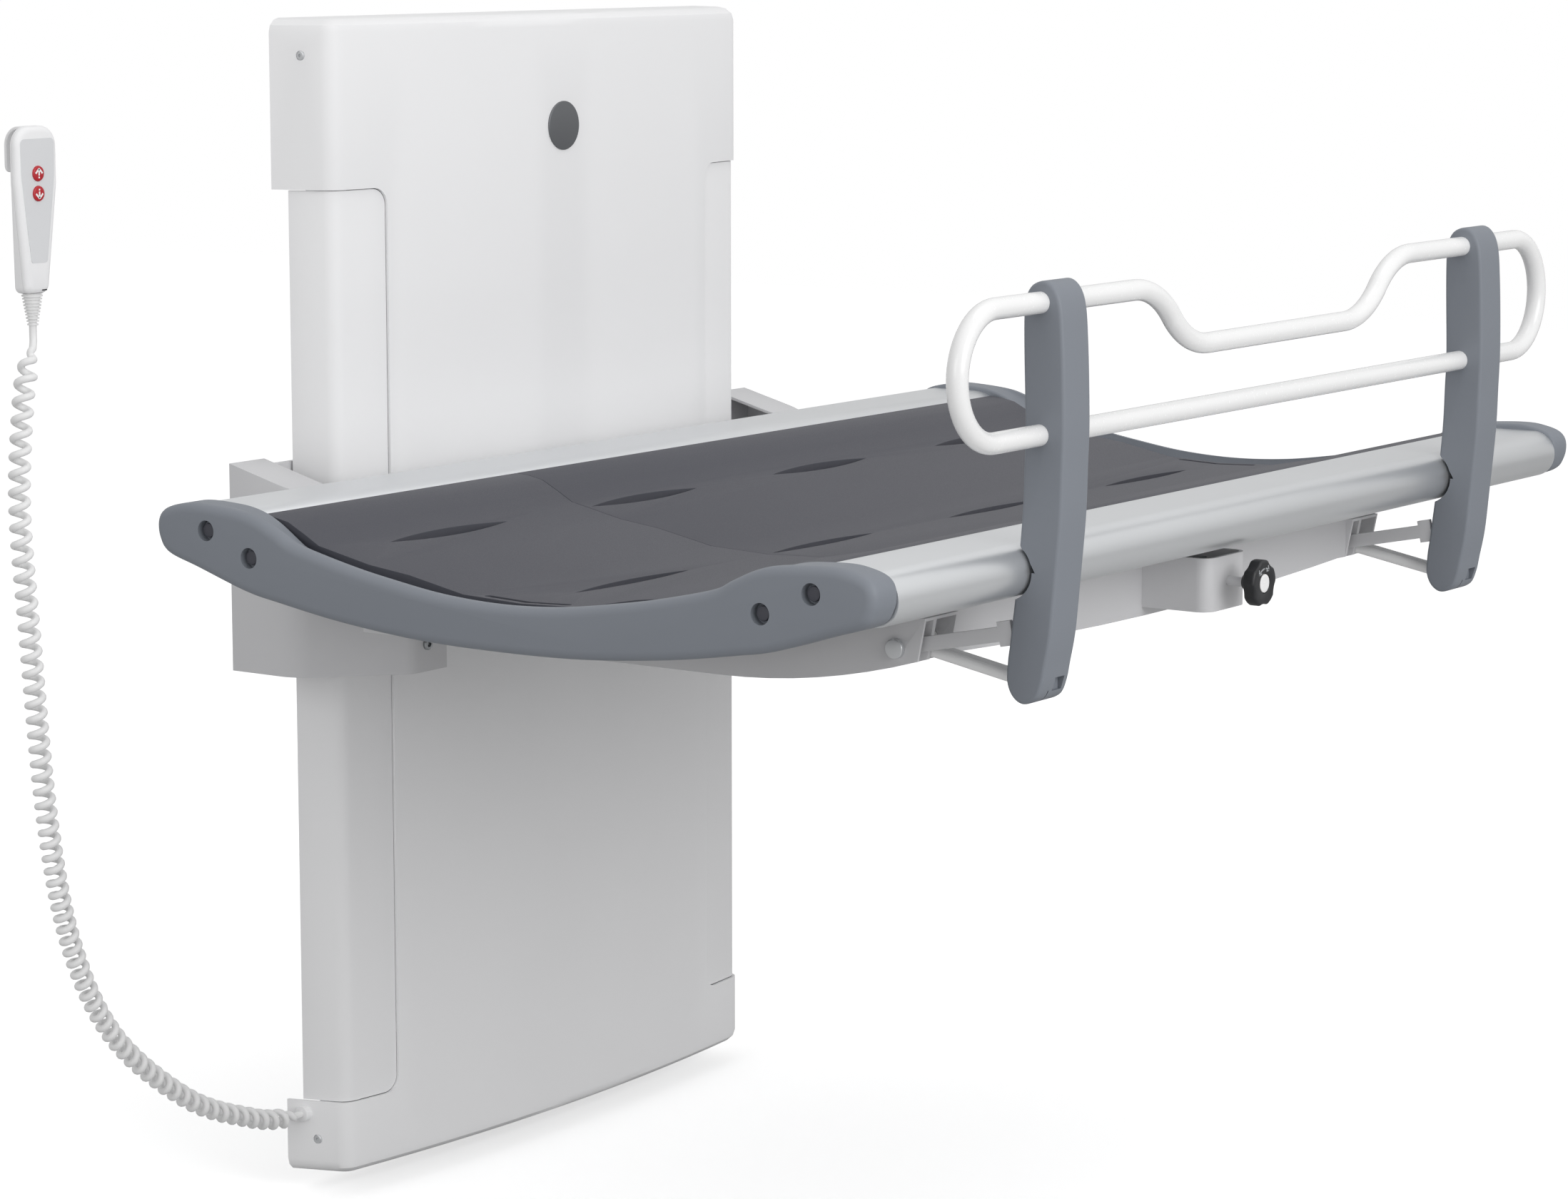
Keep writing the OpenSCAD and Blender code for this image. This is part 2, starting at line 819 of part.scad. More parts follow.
// Places on the bed's top, as shares of its half width and of its sag
bed_top_shares = [[1, 0], [0.95, 0.02], [0.893, 0.08], [0.83, 0.25], [0.772, 0.42], [0.576, 0.64],
    [0.42, 0.74], [0.216, 0.955], [0, 1]];
bed_half = table_d / 2 - nose_r - rail_lip - seat_gap;
lip_share = 0.8;
bed_edge_z = hinge_z + ledge_h + bed_t + seat_gap;
bed_end_gap = 2;
bed_lip_h = 22;
bed_end = rail_l / 2 - bed_end_gap;
hand_slot_l = 95;
hand_slot_w = 7;
drain_rows = [-213.5, 0, 213.5];
drain_places = [-455, -152, 152, 455];

function bed_line(side, drop) =
    [for (s = bed_top_shares) [-mid_y + side * s[0] * bed_half, bed_edge_z - drop - s[1] * bed_sag]];

module bed_section() {
    polygon(concat(
        bed_line(-1, 0), backwards(bed_line(1, 0)),
        bed_line(1, bed_t), backwards(bed_line(-1, bed_t))));
}

// The turned-down edge at the ends of the bed
module bed_lip_section() {
    polygon(concat(
        [for (p = bed_line(-1, bed_t / 2)) if (abs(p[0] + mid_y) < bed_half * lip_share) p],
        [for (p = backwards(bed_line(1, bed_t / 2))) if (abs(p[0] + mid_y) < bed_half * lip_share) p],
        [for (p = bed_line(1, bed_lip_h)) if (abs(p[0] + mid_y) < bed_half * lip_share) p],
        [for (p = backwards(bed_line(-1, bed_lip_h))) if (abs(p[0] + mid_y) < bed_half * lip_share) p]));
}

// A drain slot, pointed at both ends, between two shallow arcs
module drain_slot(x, y) {
    r = (drain_l * drain_l + drain_w * drain_w) / (4 * drain_w);
    translate([x, y, 0])
        linear_extrude(table_z)
            intersection_for(side = [-1, 1]) {
                translate([0, side * (r - drain_w / 2)]) circle(r, $fn = 360);
            }
}

module bed_panel(from, to, end_side) {
    color(bed_grey)
    difference() {
        union() {
            along_x((from + to) / 2, to - from) bed_section();
            along_x(end_side * (bed_end - bed_t / 2), bed_t) bed_lip_section();
        }
        for (x = drain_places, row = drain_rows) {
            if (x > from && x < to) {
                drain_slot(x, row - mid_y);
            }
        }
        translate([end_side * (bed_end - bed_t), -mid_y, 0])
            linear_extrude(table_z)
                for (y = [-1, 1] * (hand_slot_l - hand_slot_w) / 2) {
                    translate([0, y]) circle(d = hand_slot_w);
                }
        box([end_side * (bed_end - bed_t) - hand_slot_w / 2, end_side * (bed_end - bed_t) + hand_slot_w / 2],
            [-mid_y - (hand_slot_l - hand_slot_w) / 2, -mid_y + (hand_slot_l - hand_slot_w) / 2],
            [0, table_z]);
    }
}

module head_panel() bed_panel(-bed_end, -bed_joint_x - seam_gap / 2, -1);
module foot_panel() bed_panel(-bed_joint_x + seam_gap / 2, bed_end, 1);

// Arms

arm_back_y = flange_y + stop_h + seat_gap;
arm_sweep_l = 220;
arm_sweep_y = arm_front_y - arm_sweep_l;
arm_sweep_rise = 32;
arm_slant = 8;
arm_slot_l = 108;
arm_slot_y = arm_front_y - arm_slot_l;
arm_steps = 8;

function arm_line(inset) =
    [for (i = [0:arm_steps])
        let (t = 1 - i / arm_steps)
        [-arm_sweep_y - t * (arm_front_y - arm_slant - arm_sweep_y),
            -arm_low + inset + t * t * arm_sweep_rise]];

// An arm seen from the side; the inner outline runs past both ends
module arm_side(inset) {
    past = inset > 0 ? overrun : 0;
    line = arm_line(inset);
    polygon(concat(
        [[-arm_back_y + past, -arm_low + inset], [-arm_back_y + past, arm_top - inset],
            [-arm_front_y - past, arm_top - inset], [line[0].x - past, line[0].y]],
        line));
}

// Where the chambers of an arm begin and end, from its middle
narrow_from = arm_wall - arm_w / 2;
narrow_to = narrow_from + arm_chamber_w;
wide_from = narrow_to + arm_divider;
wide_to = arm_w / 2 - arm_wall;

module arm(x) {
    color(bracket_grey)
    difference() {
        along_x(x, arm_w) arm_side(0);
        along_x(x + (narrow_from + narrow_to) / 2, narrow_to - narrow_from) arm_side(arm_wall);
        along_x(x + (wide_from + wide_to) / 2, wide_to - wide_from) arm_side(arm_wall);
        for (chamber = [[narrow_from, narrow_to], [wide_from, wide_to]]) {
            box([x + chamber[0], x + chamber[1]], [-arm_front_y, -arm_slot_y],
                [-arm_low - overrun, arm_top - 2 * arm_wall]);
        }
        rod_x(x, 2 * arm_w, -pivot_y, pivot_z, pivot_d);
    }
}

module arm_left() arm(-arm_gauge / 2);
module arm_right() arm(arm_gauge / 2);

rear_beam_d = 34;
rear_beam_low = 5;
beam_half = (arm_gauge - arm_w) / 2;

module rear_beam() {
    color(steel)
    difference() {
        box([-beam_half, beam_half], [-arm_back_y - rear_beam_d, -arm_back_y], [rear_beam_low, arm_top]);
        box([-beam_half - overrun, beam_half + overrun],
            [-arm_back_y - rear_beam_d + arm_wall, -arm_back_y - arm_wall],
            [rear_beam_low + arm_wall, arm_top - arm_wall]);
    }
}

saddle_d = 62;
saddle_gap = 4;
saddle_back_y = arm_back_y + saddle_gap;

module arm_saddles() {
    color(steel)
    for (x = [-arm_gauge / 2, arm_gauge / 2]) {
        box([x - arm_w / 2, x + arm_w / 2], [-saddle_back_y - saddle_d, -saddle_back_y],
            [arm_top, table_z - 2 * nose_r]);
    }
}

block_l = 20;
pin_l = notch_w + 2 * block_l - 4;

module hinge_blocks() {
    color(steel)
    difference() {
        for (side = [-1, 1], end = [-1, 1]) {
            rod_x(side * lug_x + end * (notch_w + block_l) / 2, block_l, -hinge_y, hinge_z,
                2 * (nose_r - rail_wall));
        }
        for (side = [-1, 1]) {
            rod_x(side * lug_x, notch_w + 3 * block_l, -hinge_y, hinge_z, hinge_pin_d);
        }
    }
}

module hinge_pins() {
    color(steel)
    for (side = [-1, 1]) {
        rod_x(side * lug_x, pin_l, -hinge_y, hinge_z, hinge_pin_d);
    }
}

pivot_head_d = 18;
pivot_head_h = 5;

module rail_pivots() {
    color(steel)
    for (side = [-1, 1]) {
        x = side * arm_gauge / 2;
        rod_x(x, arm_w, -pivot_y, pivot_z, pivot_d);
        rod_x(x + side * (arm_w + pivot_head_h) / 2, pivot_head_h, -pivot_y, pivot_z, pivot_head_d);
    }
}

// Safety rail

post_foot_r = 19;
post_proud = 25;
post_front_y = tube_y + post_proud;
notch_play = 2.5;
notch_r = nose_r + notch_play;
front_nose_y = table_gap + table_d - nose_r;
swing_clear = 1.5;

// Places on a post's front and back, as shares of its height and of its depth
post_front_shares = [[0, 0.98], [0.015, 0.65], [0.05, 0.5], [0.095, 0.415], [0.166, 0.293],
    [0.275, 0.195], [0.444, 0.049], [0.561, 0.024], [0.651, 0], [0.741, 0.012], [0.85, 0.049],
    [0.935, 0.098], [0.98, 0.25], [1, 0.5]];
post_back_shares = [[0.998, 0.78], [0.98, 0.98], [0.94, 1.06], [0.831, 1.024], [0.657, 0.98],
    [0.567, 1], [0.447, 1.037], [0.281, 1.17], [0.188, 1.268], [0.142, 1.317], [0.098, 1.39],
    [0.049, 1.44], [0.015, 1.3]];

function post_points(shares) =
    [for (s = shares) [s[1] * post_d - post_front_y, post_low + s[0] * (post_high - post_low)]];

module post_side() {
    difference() {
        polygon(concat(post_points(post_front_shares), post_points(post_back_shares)));
        translate([-front_nose_y, hinge_z]) circle(notch_r);
        // the part of the notch's upper edge that the rail's round edge passes in the swing
        intersection() {
            translate([-pivot_y, pivot_z])
                circle(norm([front_nose_y - pivot_y, hinge_z - pivot_z]) + nose_r + swing_clear, $fn = 180);
            translate([-post_front_y, hinge_z])
                square([post_front_y, post_high]);
        }
    }
}

strip_rise = 11.6;
rod_fall = 10.4;
strip_x = -16;
rod_x_mid = 5;
link_l = 116;
eye_d = 24;
lobe_h = 22;
lobe_l = 14;

// A flat link with its eye on the pivot and its broad end in the post
module link_strip(x) {
    difference() {
        along_x(x + strip_x, strip_t)
            translate([-pivot_y, pivot_z]) rotate(180 - strip_rise) {
                circle(d = eye_d);
                translate([0, -strip_h / 2]) square([link_l, strip_h]);
                translate([link_l - lobe_l, -lobe_h / 2]) square([lobe_l, lobe_h]);
            }
        rod_x(x + strip_x, 2 * strip_t, -pivot_y, pivot_z, pivot_d + 2 * fit);
    }
}

// The pair of round links, with the hub that carries them on the pivot
module link_rod_pair(x) {
    hub_from = wide_from + seat_gap;
    hub_to = wide_to - seat_gap;
    difference() {
        union() {
            rod_x(x + (hub_from + hub_to) / 2, hub_to - hub_from, -pivot_y, pivot_z, eye_d);
            for (end = [-1, 1]) {
                translate([x + rod_x_mid + end * rod_gauge / 2, -pivot_y, pivot_z])
                    rotate([90 + rod_fall, 0, 0]) cylinder(link_l + rod_d / 2, d = rod_d);
            }
        }
        rod_x(x, 2 * arm_w, -pivot_y, pivot_z, pivot_d + 2 * fit);
    }
}

module link_strips() {
    color(steel)
    for (x = [-arm_gauge / 2, arm_gauge / 2]) {
        link_strip(x);
    }
}

module link_rods() {
    color(white)
    for (x = [-arm_gauge / 2, arm_gauge / 2]) {
        link_rod_pair(x);
    }
}

// The small pocket low on a post's front, and the groove beside it
foot_pocket = [15, 12];
foot_pocket_z = 13;
foot_pocket_from = -1;
foot_pocket_y = tube_y - 1;
foot_groove_x = -8;
foot_groove_w = 1.6;
foot_groove_h = 12;

module post_foot_cuts(x) {
    box([x + foot_pocket_from, x + foot_pocket_from + foot_pocket.x],
        [-post_front_y - overrun, -foot_pocket_y],
        [foot_pocket_z, foot_pocket_z + foot_pocket.y]);
    box([x + foot_groove_x, x + foot_groove_x + foot_groove_w],
        [-post_front_y - overrun, -foot_pocket_y],
        [post_low - overrun, post_low + foot_groove_h]);
}

module post(x) {
    color(trim_grey)
    difference() {
        along_x(x, post_w) post_side();
        post_foot_cuts(x);
        link_strip(x);
        link_rod_pair(x);
        for (z = [tube_low, tube_high]) {
            rod_x(x, 2 * post_w, -tube_y, z, tube_d);
        }
    }
}

module post_left() post(-arm_gauge / 2);
module post_right() post(arm_gauge / 2);

tube_sides = 16;
loop_steps = 12;
bend_steps = 4;

// The middle line of the bent tube, counter-clockwise from the start of its right end loop
function tube_half(side) =
    let (
        loop_r = (tube_high - tube_low) / 2,
        half_run = tube_run / 2,
        dip_x = dip_l / 2,
        turn = 2 * atan2(tube_high - tube_dip, dip_bend),
        bend_r = dip_bend / (2 * sin(turn)),
        half = concat(
            arc([half_run, tube_low + loop_r], loop_r, -90, 90, loop_steps),
            arc([dip_x + dip_bend, tube_high - bend_r], bend_r, 90, 90 + turn, bend_steps),
            arc([dip_x, tube_dip + bend_r], bend_r, 270 + turn, 270, bend_steps))
    )
    side > 0 ? half : backwards([for (p = half) [-p.x, p.y]]);

// A round bar along a closed line in the plane of the safety rail
module tube_loop(line, d, sides) {
    n = len(line);
    points = [for (i = [0:n - 1])
        let (
            step = unit(line[(i + 1) % n] - line[(i + n - 1) % n]),
            ahead = [step.x, 0, step.y],
            over = cross(ahead, [0, -1, 0]),
            out = cross(ahead, over)
        )
        for (k = [0:sides - 1])
            let (a = 360 * k / sides)
            [line[i].x, -tube_y, line[i].y] + d / 2 * (cos(a) * over + sin(a) * out)];
    faces = [for (i = [0:n - 1], k = [0:sides - 1], half = [0, 1])
        let (
            a = i * sides + k,
            b = i * sides + (k + 1) % sides,
            c = (i + 1) % n * sides + k,
            e = (i + 1) % n * sides + (k + 1) % sides
        )
        half == 0 ? [a, c, e] : [a, e, b]];
    polyhedron(points, faces, convexity = 6);
}

module rail_tube() {
    color(white)
    tube_loop(concat(tube_half(1), tube_half(-1)), tube_d, tube_sides);
}

// Front beam and knob

beam_top = table_z - 2 * nose_r;
beam_flange_l = 35;
beam_flange_y = beam_y + beam_flange_l;
housing_low = 30;
housing_high = 81;
housing_r = 14;
spindle_boss_d = 18;
spindle_past = 10;
spindle_back_y = beam_y - spindle_past;
arch_steps = 10;

function arch(inset, past) =
    [for (i = [-arch_steps:arch_steps])
        [i / arch_steps * (beam_half + past),
            beam_low + inset + beam_arch * (i / arch_steps) * (i / arch_steps)]];

module beam_front(inset, past, top) {
    polygon(concat(arch(inset, past), [[beam_half + past, top], [-beam_half - past, top]]));
}

module housing_plan(inset) {
    half = housing_w / 2 - inset;
    polygon(rounded([[-half, -beam_y + beam_d], [-half, inset - housing_y],
        [half, inset - housing_y], [half, -beam_y + beam_d]],
        [0, housing_r - inset, housing_r - inset, 0]));
}

// The beam across the front, open behind, with the U-shaped housing round the spindle
module front_beam() {
    color(bracket_grey)
    difference() {
        union() {
            difference() {
                union() {
                    off_wall(beam_y - beam_d, beam_y) beam_front(0, 0, beam_top);
                    translate([0, 0, housing_low])
                        linear_extrude(housing_high - housing_low) housing_plan(0);
                }
                off_wall(beam_y - beam_d - overrun, beam_y - beam_wall)
                    beam_front(beam_wall, overrun, beam_top - beam_wall);
                translate([0, 0, housing_low + beam_wall])
                    linear_extrude(housing_high - housing_low)
                        intersection() {
                            housing_plan(beam_wall);
                            translate([-housing_w, -housing_y])
                                square([2 * housing_w, housing_y - beam_y]);
                        }
            }
            box([-beam_half, beam_half], [-beam_flange_y, -beam_y], [beam_top - beam_wall, beam_top]);
            rod_y(0, knob_z, housing_y - 2 * spindle_boss_d / 2, housing_y, spindle_boss_d);
        }
        rod_y(0, knob_z, beam_y - beam_d - overrun, housing_y + overrun, spindle_d + 2 * fit);
    }
}

knob_gap = 17;
knob_back_y = housing_y + knob_gap;
knob_lobes = 5;
knob_scallop_d = 34;
knob_scallop_h = 3.4;
knob_cap_d = 17.5;
knob_cap_h = 2;
knob_bore_h = 14;

module star_knob() {
    color(black)
    difference() {
        rod_y(0, knob_z, knob_back_y, knob_back_y + knob_h, knob_d);
        for (i = [0:knob_lobes - 1]) {
            a = 90 + 360 * (i + 0.5) / knob_lobes;
            reach = knob_d / 2 + knob_scallop_d / 2 - knob_scallop_h;
            rod_y(reach * cos(a), knob_z + reach * sin(a), knob_back_y - overrun,
                knob_back_y + knob_h + overrun, knob_scallop_d);
        }
        rod_y(0, knob_z, knob_back_y - overrun, knob_back_y + knob_bore_h, spindle_d);
        rod_y(0, knob_z, knob_back_y + knob_h - knob_cap_h, knob_back_y + knob_h + overrun, knob_cap_d);
    }
}

module knob_cap() {
    color(white)
    rod_y(0, knob_z, knob_back_y + knob_h - knob_cap_h, knob_back_y + knob_h, knob_cap_d);
}

module spindle() {
    color(steel)
    rod_y(0, knob_z, spindle_back_y, knob_back_y + knob_bore_h, spindle_d);
}

nut_gap = 22;
nut_y = beam_y + nut_gap;
nut_t = 14;
nut_h = 32;

module spindle_nut() {
    half = housing_w / 2 - beam_wall - seat_gap;
    color(steel)
    difference() {
        box([-half, half], [-nut_y - nut_t / 2, -nut_y + nut_t / 2], [knob_z - nut_h / 2, knob_z + nut_h / 2]);
        rod_y(0, knob_z, nut_y - nut_t, nut_y + nut_t, spindle_d + 2 * fit);
    }
}

// Hand control

handset_x = column_w / 2 + handset_gap;
handset_top = column_top - handset_drop;
handset_low = handset_top - handset_l;
hook_off = 18;
shell_back = hook_off + hook_d;
handset_front = shell_back + handset_t;
end_slope = 2;
end_front = handset_front - end_slope;
shell_taper_share = 0.4;
shell_round = 6;
face_t = 1.5;
face_top_gap = 11;
face_top_w = 34;
face_low_gap = 28;
face_low_w = 20;
button_drop = 42.5;
button_z = handset_top - button_drop;
button_proud = 1.7;
button_seat = 6;
button_fit = 0.08;

module handset_outline(inset) {
    top = handset_w / 2 - inset;
    low = handset_end_w / 2 - inset;
    shoulder = handset_top - handset_w;
    polygon(rounded(
        [[-handset_x - top, shoulder], [-handset_x - low, handset_low + inset],
            [-handset_x + low, handset_low + inset], [-handset_x + top, shoulder],
            [-handset_x + top, handset_top - inset], [-handset_x - top, handset_top - inset]],
        [handset_w, handset_end_w / 4, handset_end_w / 4, handset_w, handset_w / 3, handset_w / 3]));
}

module face_outline() {
    top = handset_top - face_top_gap;
    low = handset_low + face_low_gap;
    polygon(rounded(
        [[-handset_x - face_top_w / 2, top], [-handset_x - face_low_w / 2, low],
            [-handset_x + face_low_w / 2, low], [-handset_x + face_top_w / 2, top]],
        [face_top_w / 5, face_low_w / 4, face_low_w / 4, face_top_w / 5]));
}

hook_t = 3;
hook_drop = 42;
hook_root = 30;
hook_root_t = 4;
hook_bend_share = 0.9;
hook_r = hook_d * hook_bend_share;

// The shell seen from the side: thin at the top, thicker towards the cord
module handset_side() {
    polygon(rounded(
        [[-handset_front, handset_top], [-handset_front, handset_low + face_low_gap],
            [-end_front, handset_low], [handset_end_t - end_front, handset_low],
            [-shell_back, handset_top - handset_l * shell_taper_share], [-shell_back, handset_top]],
        [shell_round, handset_l / 4, 0, 0, handset_l / 4, hook_t]));
}

// The hook seen from the side: over the top of the shell and down behind it
module hook_side() {
    root_y = -shell_back - hook_root_t;
    polygon(rounded(
        [[-shell_back, handset_top - hook_root], [root_y, handset_top - hook_root],
            [root_y, handset_top - hook_t / 2], [root_y + hook_t, handset_top], [-hook_off, handset_top],
            [-hook_off, handset_top - hook_drop], [-hook_off - hook_t, handset_top - hook_drop],
            [-hook_off - hook_t, handset_top - hook_t], [-shell_back, handset_top - hook_t]],
        [0, 0, 0, 0, hook_r, 0, 0, hook_r - hook_t, hook_t / 2]));
}

module handset_shell() {
    color(cover_grey)
    difference() {
        union() {
            intersection() {
                off_wall(0, handset_front + overrun) handset_outline(0);
                along_x(-handset_x, handset_w + overrun) handset_side();
            }
            along_x(-handset_x, hook_w) hook_side();
        }
        off_wall(handset_front - face_t, handset_front + overrun) face_outline();
        for (z = [button_z, button_z - button_gauge]) {
            rod_y(-handset_x, z, handset_front - button_seat, handset_front + overrun,
                button_d + 2 * button_fit);
        }
        rod_z(handset_low - overrun, handset_low + relief_socket, relief_neck_d);
    }
}

module handset_face() {
    color(face_grey)
    difference() {
        off_wall(handset_front - face_t, handset_front) face_outline();
        for (z = [button_z, button_z - button_gauge]) {
            rod_y(-handset_x, z, 0, handset_front + overrun, button_d + 2 * button_fit);
        }
    }
}

module button(z) {
    color(button_red)
    rod_y(-handset_x, z, handset_front - button_seat + button_travel + seat_gap,
        handset_front + button_proud, button_d);
}

module up_button() button(button_z);
module down_button() button(button_z - button_gauge);

relief_l = 29;
relief_top_d = 18;
relief_end_d = 11;
relief_ribs = 9;
relief_socket = 6;
relief_neck_d = 11;
relief_groove = 1.2;
relief_y = end_front - handset_end_t / 2;

module rod_z(from, to, d) {
    translate([-handset_x, -relief_y, from]) cylinder(to - from, d = d);
}

// The ribbed sleeve at the lower end of the hand control
module strain_relief() {
    color(cover_grey)
    translate([-handset_x, -relief_y, handset_low - relief_l])
        rotate_extrude()
            polygon(concat(
                [[0, relief_l + relief_socket], [0, 0]],
                [for (i = [0:relief_ribs - 1], edge = [0, 1, 2, 3])
                    let (
                        t = (i + [0, 0.55, 0.55, 1][edge]) / relief_ribs,
                        r = (relief_end_d + (relief_top_d - relief_end_d) * t) / 2
                    )
                    [r - (edge < 2 ? 0 : relief_groove), t * relief_l]],
                [[relief_neck_d / 2, relief_l], [relief_neck_d / 2, relief_l + relief_socket]]));
}

// Cord: a plain lead out of the sleeve, then the curls, whose middle line follows shares of
// the way from the lead's end to the gland near the foot of the column
lead_steps = [[0, 0, 0], [0, 0, -8], [-1, -1, -15], [-4, -3, -21]];
coil_shares = [[0, 0, 0], [-0.024, -0.136, 0.017], [-0.051, -0.227, 0.059], [-0.072, -0.227, 0.173],
    [-0.048, -0.182, 0.315], [0.005, -0.091, 0.549], [0.094, 0.091, 0.707], [0.255, 0.318, 0.829],
    [0.534, 0.591, 0.931], [0.783, 0.818, 0.981], [0.922, 1, 0.998], [1, 1, 1]];
gland_d = 16;
gland_l = 12;
gland_x = -column_w / 2;
gland_y = -18;
gland_rise = 62;
gland_z = gland_rise - column_top;
sleeve_end = [-handset_x, -relief_y, handset_low - relief_l];
lead_route = [for (p = lead_steps) sleeve_end + p];
lead_end = lead_route[len(lead_route) - 1];
coil_way = [gland_x, gland_y, gland_z] - lead_end;
coil_route = [for (share = coil_shares)
    lead_end + [share.x * coil_way.x, share.y * coil_way.y, share.z * coil_way.z]];
// Distance from one curl to the next, along shares of the coil's length
pitch_shares = [[0, 16.8], [0.1, 16.4], [0.25, 15.1], [0.4, 13.5], [0.53, 11.9], [0.65, 13.7],
    [0.8, 16.2], [1, 17]];
route_steps = 8;
curl_rings = 8;
cord_sides = 6;
curl_r = (curl_d - cord_d) / 2;
ramp_curls = 1.25;

function smooth(p, q, r, s, t) =
    q + 0.5 * t * (r - p + t * (2 * p - 5 * q + 4 * r - s + t * (3 * q - p - 3 * r + s)));

function dense(route) =
    let (n = len(route))
    concat(
        [for (i = [0:n - 2], j = [0:route_steps - 1])
            smooth(route[max(i - 1, 0)], route[i], route[i + 1], route[min(i + 2, n - 1)],
                j / route_steps)],
        [route[n - 1]]);

function lengths(line) =
    [for (i = 0, s = 0; i < len(line); s = s + (i + 1 < len(line) ? norm(line[i + 1] - line[i]) : 0),
        i = i + 1) s];

coil_line = dense(coil_route);
coil_s = lengths(coil_line);
coil_l = coil_s[len(coil_s) - 1];
coil_tables = [for (k = [0:2]) [for (i = [0:len(coil_line) - 1]) [coil_s[i], coil_line[i][k]]]];

function coil_at(s) = [for (k = [0:2]) lookup(s, coil_tables[k])];

coil_places = [for (s = 0; s < coil_l - cord_d; s = s + lookup(s / coil_l, pitch_shares) / curl_rings) s];
coil_count = len(coil_places);

function curl_point(i) =
    let (
        s = coil_places[i],
        ahead = unit(coil_at(min(s + curl_d, coil_l)) - coil_at(max(s - curl_d, 0))),
        over = unit(cross(ahead, [0, -1, 0])),
        out = cross(ahead, over),
        ramp = min(1, i / (ramp_curls * curl_rings), (coil_count - 1 - i) / (ramp_curls * curl_rings)),
        a = 360 * i / curl_rings
    )
    coil_at(s) + curl_r * ramp * (cos(a) * over + sin(a) * out);

curl_line = concat([for (i = [0:coil_count - 1]) curl_point(i)], [coil_at(coil_l)]);

// A round cord along a line of points
module cord(line, start, end, sides) {
    n = len(line);
    skin([for (i = [0:n - 1])
        let (
            ahead = i == 0 ? start : (i == n - 1 ? end : unit(line[i + 1] - line[i - 1])),
            over = unit(cross(ahead, abs(ahead.y) > 0.9 ? [0, 0, 1] : [0, -1, 0])),
            out = cross(ahead, over)
        )
        [for (k = [0:sides - 1])
            let (a = 360 * k / sides)
            line[i] + cord_d / 2 * (cos(a) * over + sin(a) * out)]]);
}

join_dir = unit(coil_route[1] - coil_route[0]);

module cord_lead() {
    color(cover_grey)
    cord(dense(lead_route), [0, 0, -1], join_dir, cord_sides);
}

module curly_cord() {
    color(cover_grey)
    cord(curl_line, join_dir, [1, 0, 0], cord_sides);
}

// Least gap between one curl and the next, measured on the middle line
curl_gaps = [for (i = [0:coil_count - 1 - 2 * curl_rings], k = [curl_rings / 2:curl_rings * 3 / 2])
    norm(curl_line[i + k] - curl_line[i]) - cord_d];
echo(curls = coil_count / curl_rings, least_gap = min(curl_gaps));

// The bushing where the cord goes into the column
module cord_gland() {
    color(cover_grey)
    rod_x(gland_x + gland_l / 2, gland_l, gland_y, gland_z, gland_d);
}

back_plate();
cross_bars();
guide_shafts();
lead_screw();
cover_posts();
control_box();
front_cover();
side_strip_left();
side_strip_right();
badge_disc();
cover_screws();
cord_gland();
handset_shell();
handset_face();
strain_relief();
cord_lead();
curly_cord();
up_button();
down_button();
carriage_plate();
slide_bearings();
drive_unit();
bracket_left();
bracket_right();
hinge_lugs();
flange_bolts();
stop_pads();
wall_rail();
front_rail();
end_cap_left();
end_cap_right();
cap_screws();
head_panel();
foot_panel();
arm_left();
arm_right();
rear_beam();
arm_saddles();
front_beam();
hinge_blocks();
hinge_pins();
rail_pivots();
rail_tube();
post_left();
post_right();
link_strips();
link_rods();
star_knob();
knob_cap();
spindle();
spindle_nut();
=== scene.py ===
# %% [markdown]
# # A wall-mounted changing table
# A tall pale column hangs on the wall and holds a folding bed with a safety rail, two arms
# under it, a star knob and a hand control on a curly cord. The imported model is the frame:
# every size here comes from it or repeats a named size of its source.

# %% Load the frame
import math

import bmesh
import bpy
from mathutils import Matrix, Vector


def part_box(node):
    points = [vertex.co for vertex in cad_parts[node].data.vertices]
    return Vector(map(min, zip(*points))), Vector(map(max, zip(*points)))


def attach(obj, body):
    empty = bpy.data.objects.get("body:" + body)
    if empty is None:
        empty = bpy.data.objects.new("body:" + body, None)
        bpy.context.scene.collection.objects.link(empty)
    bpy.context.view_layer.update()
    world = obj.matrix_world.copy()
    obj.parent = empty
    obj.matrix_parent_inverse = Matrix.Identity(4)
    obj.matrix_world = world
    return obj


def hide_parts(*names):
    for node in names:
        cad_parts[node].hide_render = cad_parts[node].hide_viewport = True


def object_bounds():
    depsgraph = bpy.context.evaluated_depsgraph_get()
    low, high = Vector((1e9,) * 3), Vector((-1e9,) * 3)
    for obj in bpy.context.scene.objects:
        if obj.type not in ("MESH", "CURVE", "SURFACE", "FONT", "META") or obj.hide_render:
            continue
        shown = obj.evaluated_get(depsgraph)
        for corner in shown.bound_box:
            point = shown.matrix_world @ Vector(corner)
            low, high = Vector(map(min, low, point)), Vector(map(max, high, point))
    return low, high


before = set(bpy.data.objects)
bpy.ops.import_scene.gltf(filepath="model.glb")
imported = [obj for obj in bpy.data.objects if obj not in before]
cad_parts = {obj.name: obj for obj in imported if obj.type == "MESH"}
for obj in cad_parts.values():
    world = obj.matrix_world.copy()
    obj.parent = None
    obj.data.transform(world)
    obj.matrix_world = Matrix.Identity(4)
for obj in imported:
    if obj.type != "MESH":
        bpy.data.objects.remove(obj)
cad_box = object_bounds()
MM = 0.001

